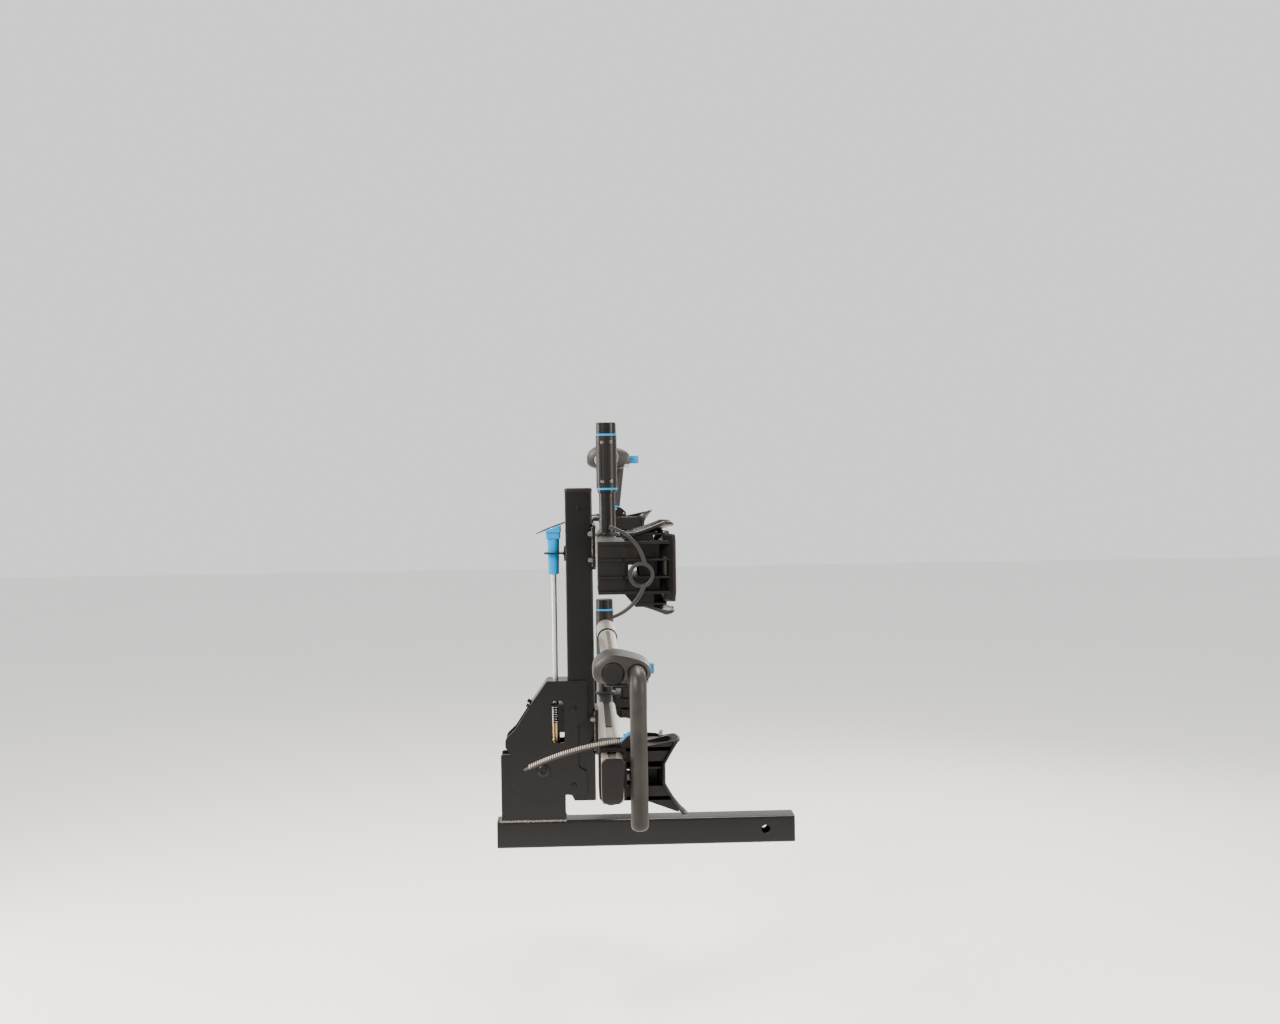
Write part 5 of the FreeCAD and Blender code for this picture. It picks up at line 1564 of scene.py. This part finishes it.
    def lever(self) -> None:
        """The blue lever with thumb ribs on its tip."""
        low, high = self.place.box(f"{self.tray}_head_lever")
        body = f"{self.tray}_head_lever"
        if self.tray == "lower":
            high.x -= self.lever_tuck
        outline = rounded_outline((low.x + 2.0, low.y), (high.x, high.y), 3.0)
        draft = Draft().prism(outline, low.z, high.z, Along.Z)
        for n in range(4):
            z = low.z + 3.0 + n * (high.z - low.z - 6.0) / 3.0
            draft.block((high.x - 1.0, low.y + 2.0, z - 0.7), (high.x + 0.8, high.y - 2.0, z + 0.7))
        piece = draft.piece(f"{self.tray}_lever_tab", self.shop.finish[Slot.BLUE], self.place, 0.9, 3)
        self.shop.enter(piece, body, Slot.BLUE, f"{self.tray}_head_lever")

    def end_ring(self) -> None:
        """The ring on the end of the outer tube."""
        low, high = self.place.box(f"{self.tray}_arm_outer_tube")
        inner_low, inner_high = self.place.box(f"{self.tray}_arm_inner_tube")
        centre, radius = ((low.x + high.x) / 2, 0.0, (low.z + high.z) / 2), (high.x - low.x) / 2
        bore, rim = (inner_high.x - inner_low.x) / 2 + 0.1, radius + 0.5
        profile = [(bore, low.y - 3.0), (radius - 0.3, low.y - 3.0), (rim, low.y - 2.0), (rim, low.y + 4.0),
                   (bore, low.y + 4.0)]
        ring = Draft().turned(profile, centre, Along.Y, True)
        piece = ring.piece(f"{self.tray}_tube_end_ring", self.shop.finish[Slot.PLASTIC], self.place, 0.3, 2)
        self.shop.enter(piece, f"{self.tray}_arm", Slot.PLASTIC)

    def slot_rail(self) -> None:
        """The rail in the inner tube's groove, with its row of holes."""
        low, high = self.place.box(f"{self.tray}_arm_inner_tube")
        middle, top = (low.x + high.x) / 2, high.z
        half, inset = 3.4, 70.0
        rail = Draft().block((middle - half, low.y + inset, top - 3.4),
                             (middle + half, high.y - inset, top - 1.0))
        for n in range(7):
            y = low.y + 100.0 + n * 60.0
            rail.turned([(1.0, top - 1.2), (2.3, top - 1.2), (2.3, top - 0.5), (1.0, top - 0.5)],
                        (middle, y, 0), Along.Z, True, 20)
        strip = rail.piece(f"{self.tray}_slot_rail", self.shop.rail, self.place)
        self.shop.enter(strip, f"{self.tray}_extension", Slot.SILVER)

    def post_weld(self) -> None:
        """The welded bead round the post's foot."""
        low, high = self.place.box(f"{self.tray}_arm_post")
        x, y, reach = (low.x + high.x) / 2, (low.y + high.y) / 2, (high.x - low.x) / 2 + 0.6
        line = [self.place.point((x + u, y + v, low.z + 0.6)) for u, v in circle_of(reach, 40)]
        bead = self.shop.bead.bake(f"{self.tray}_post_weld", line, True, self.shop.finish[Slot.POWDER],
                                   Pitch=2.2 * MM, Radius=1.6 * MM, Squash=0.7)
        self.shop.enter(bead, "mast", Slot.POWDER)

    def sleeve_fittings(self) -> None:
        """The sleeve's clamp split line with its socket screws."""
        low, high = self.place.box(f"{self.tray}_arm_sleeve")
        screws_low, screws_high = self.place.box(f"{self.tray}_sleeve_screws")
        centre = (screws_low.x + screws_high.x) / 2
        face, spread = screws_high.y - 2.2, (screws_high.x - screws_low.x) / 2 - 4.0
        screws = Draft()
        for z in (screws_low.z + 4.0, screws_high.z - 4.0):
            for x in (centre - spread, centre + spread):
                screws.turned([(2.0, screws_low.y), (2.0, face)], (x, 0, z), Along.Y, steps=20)
                screws.socket_head((x, face - 0.4, z), Along.Y, 1, 3.1, 2.4, 1.6)
        # the screws take the darker steel: painted dark reflection
        steel = screws.piece(f"{self.tray}_sleeve_socket_screws", self.shop.steel_painted_dark_reflection, self.place)
        self.shop.enter(steel, f"{self.tray}_arm", Slot.ZINC, f"{self.tray}_sleeve_screws")
        # the clamp split: a thin rib and a recess, in the plain black plastic
        seam = Draft()
        seam.block((centre + 0.4, face - 6.0, low.z + 3.0), (centre + 2.6, face + 0.6, high.z - 3.0))
        seam.block((centre - 11.0, face - 7.0, low.z + 18.0), (centre - 1.6, face - 0.6, high.z - 18.0))
        rib = seam.piece(f"{self.tray}_sleeve_seam", self.shop.finish[Slot.PLASTIC], self.place, 0.5, 2)
        self.shop.enter(rib, f"{self.tray}_arm", Slot.PLASTIC)


@dataclass
class Tray:
    """One tray: its cradle, holder, arm and groove strip."""

    shop: Workshop
    name: str

    def build(self) -> None:
        """Builds the tray's sub-assemblies from the frame's boxes."""
        mast_low, mast_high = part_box("mast_tube")
        beam_low, beam_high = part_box(f"{self.name}_front_beam")
        side = 1 if beam_high.y + beam_low.y > 0 else -1
        origin = Vector(((mast_low.x + mast_high.x) / 2, 0.0, (beam_low.z + beam_high.z) / 2))
        front, rear = Place(origin, side), Place(origin, -side)
        FrontCradle(self.shop, self.name, front).build()
        RearHolder(self.shop, self.name, rear).build()
        WheelArm(self.shop, self.name, front).build()
        self.groove_strip(rear)

    def groove_strip(self, place: Place) -> None:
        """The dark strip in the top groove, with a round end."""
        low, high = place.box(f"{self.name}_rear_beam")
        centre, half = (low.x + high.x) / 2, 5.6
        end, steps = 172.0, 12
        outline = [(centre - half, low.y + 4.0)]
        for n in range(steps + 1):
            angle = math.pi * (1.0 - n / steps)
            outline.append((centre + half * math.cos(angle), end + half * math.sin(angle)))
        outline.append((centre + half, low.y + 4.0))
        strip = Draft().prism(outline, high.z - 3.0, high.z - 1.2, Along.Z)
        piece = strip.piece(f"{self.name}_groove_strip", self.shop.finish[Slot.PLASTIC], place, 0.3, 2)
        self.shop.enter(piece, "mast", Slot.PLASTIC)


@dataclass
class EndCaps:
    """The moulded plates over the silver beams' ends."""

    shop: Workshop
    thick: float = 4.0
    bulge: float = 2.2

    def build(self) -> None:
        """Makes both caps in one piece, since both ride on the mast."""
        draft = Draft()
        for tray in ("lower", "upper"):
            low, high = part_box(f"{tray}_rear_beam")
            middle = (low + high) / 2
            outward = 1 if high.y + low.y > 0 else -1
            start = (high.y if outward > 0 else low.y) / MM
            wide, tall = (high.x - low.x) / 2 / MM, (high.z - low.z) / 2 / MM
            steps = ((0.2, 0.0), (0.0, 0.5), (0.0, self.thick - 1.4), (0.9, self.thick - 0.4),
                     (2.6, self.thick), (9.0, self.thick + 0.3))
            loops = []
            for inset, level in steps:
                corners = (-wide + inset, -tall + inset), (wide + self.bulge - inset, tall - inset)
                loops.append([])
                for u, v in rounded_outline(*corners, max(2.0, 9.0 - inset * 0.5)):
                    taper = 0.2 + 0.8 * min(1.0, (wide + 60.0 + v) / (2 * wide + 30.0)) if u > 0 else 1.0
                    spot = (middle.x / MM + u * taper, start + outward * level, middle.z / MM + v)
                    loops[-1].append(spot)
            draft.rings(loops)
        piece = draft.piece("beam_caps_moulded", self.shop.finish[Slot.PLASTIC], Place(Vector((0, 0, 0))))
        self.shop.enter(piece, "mast", Slot.PLASTIC, "beam_end_caps")


# ---------------------------------------------------------------- stage


@dataclass(frozen=True)
class Softbox:
    """One area light aimed at a point of the frame."""

    name: str
    spot: Point
    aim: Point
    size: Flat
    power: float
    tint: Colour = (1.0, 1.0, 1.0)

    def build(self) -> None:
        """Hangs the light."""
        data = bpy.data.lights.new(self.name, "AREA")
        data.shape, data.size, data.size_y = "RECTANGLE", *self.size
        data.energy, data.color = self.power, self.tint
        lamp = bpy.data.objects.new(self.name, data)
        bpy.context.scene.collection.objects.link(lamp)
        lamp.location = self.spot
        lamp.rotation_euler = (Vector(self.aim) - Vector(self.spot)).to_track_quat("-Z", "Y").to_euler()


@dataclass
class Stage:
    """Pale floor, plain soft light and the camera."""

    floor_drop: float = 0.43
    eye: Point = (-0.340, -2.770, 0.681)
    yaw: float = 2.298
    pitch: float = -1.635
    roll: float = 0.8
    lens: float = 41.34
    sky: float = 1.2
    lights: tuple[Softbox, ...] = field(default_factory=lambda: (
        Softbox("key", (-2.0, -1.9, 2.1), (-0.3, 0.0, 0.35), (0.5, 1.4), 150.0, (1.0, 0.92, 0.84)),
        Softbox("top", (-0.1, 0.3, 2.5), (-0.3, 0.0, 0.3), (1.4, 0.5), 110.0, (1.0, 0.95, 0.90)),
        Softbox("left", (-2.4, 0.4, 0.7), (-0.3, 0.0, 0.3), (0.35, 1.4), 40.0, (1.0, 0.94, 0.88)),
        Softbox("right", (1.9, -1.5, 1.0), (-0.3, -0.2, 0.3), (0.3, 1.5), 55.0, (1.0, 0.89, 0.78)),
        Softbox("behind", (1.2, 2.2, 1.6), (-0.3, 0.0, 0.3), (0.5, 1.4), 45.0, (1.0, 0.97, 0.94))))

    def build(self) -> None:
        """Makes the floor, the surroundings, the lights and the camera."""
        self.floor()
        world = bpy.data.worlds.new("studio")
        bpy.context.scene.world = world
        world.use_nodes = True
        background = world.node_tree.nodes["Background"]
        background.inputs["Color"].default_value = (1.0, 0.995, 0.985, 1.0)
        background.inputs["Strength"].default_value = self.sky
        for light in self.lights:
            light.build()
        self.camera()

    def floor(self) -> None:
        """A wide pale floor well under the bar."""
        paint = Paint("studio_floor")
        tone = paint.mix(paint.noise(1.5, 2.0), (0.86, 0.855, 0.845), (0.89, 0.885, 0.875))
        material = paint.surface(Base_Color=tone, Roughness=0.8)
        reach = 14.0
        mesh = bpy.data.meshes.new("floor")
        corners = [(-reach, -reach), (reach, -reach), (reach, reach), (-reach, reach)]
        mesh.from_pydata([(x, y, -self.floor_drop) for x, y in corners], [], [(0, 1, 2, 3)])
        mesh.materials.append(material)
        floor = bpy.data.objects.new("floor", mesh)
        bpy.context.scene.collection.objects.link(floor)
        floor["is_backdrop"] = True

    def camera(self) -> None:
        """The camera, from its yaw, pitch and roll in degrees."""
        yaw, pitch, roll = (math.radians(angle) for angle in (self.yaw, self.pitch, self.roll))
        ahead = Vector((math.sin(yaw) * math.cos(pitch), math.cos(yaw) * math.cos(pitch), math.sin(pitch)))
        level = Vector((math.cos(yaw), -math.sin(yaw), 0.0))
        upright = level.cross(ahead)
        right = level * math.cos(roll) - upright * math.sin(roll)
        up = level * math.sin(roll) + upright * math.cos(roll)
        data = bpy.data.cameras.new("camera")
        data.sensor_width, data.lens, data.clip_start = 36.0, self.lens, 0.05
        camera = bpy.data.objects.new("camera", data)
        bpy.context.scene.collection.objects.link(camera)
        camera.matrix_world = Matrix.Translation(self.eye) @ Matrix((right, up, -ahead)).transposed().to_4x4()
        bpy.context.scene.camera = camera


def main() -> None:
    """Builds the scene in order."""
    logging.basicConfig(level=logging.INFO, format="%(name)s: %(message)s")
    shop = Workshop()
    shop.dress()
    for node, width in ROUNDED.items():
        shop.soften(node, width)
    HitchBase(shop).build()
    Mast(shop).build()
    Release(shop).build()
    for name in ("lower", "upper"):
        Tray(shop, name).build()
    EndCaps(shop).build()
    Stage().build()
    bpy.context.view_layer.update()


if __name__ == "__main__":
    main()
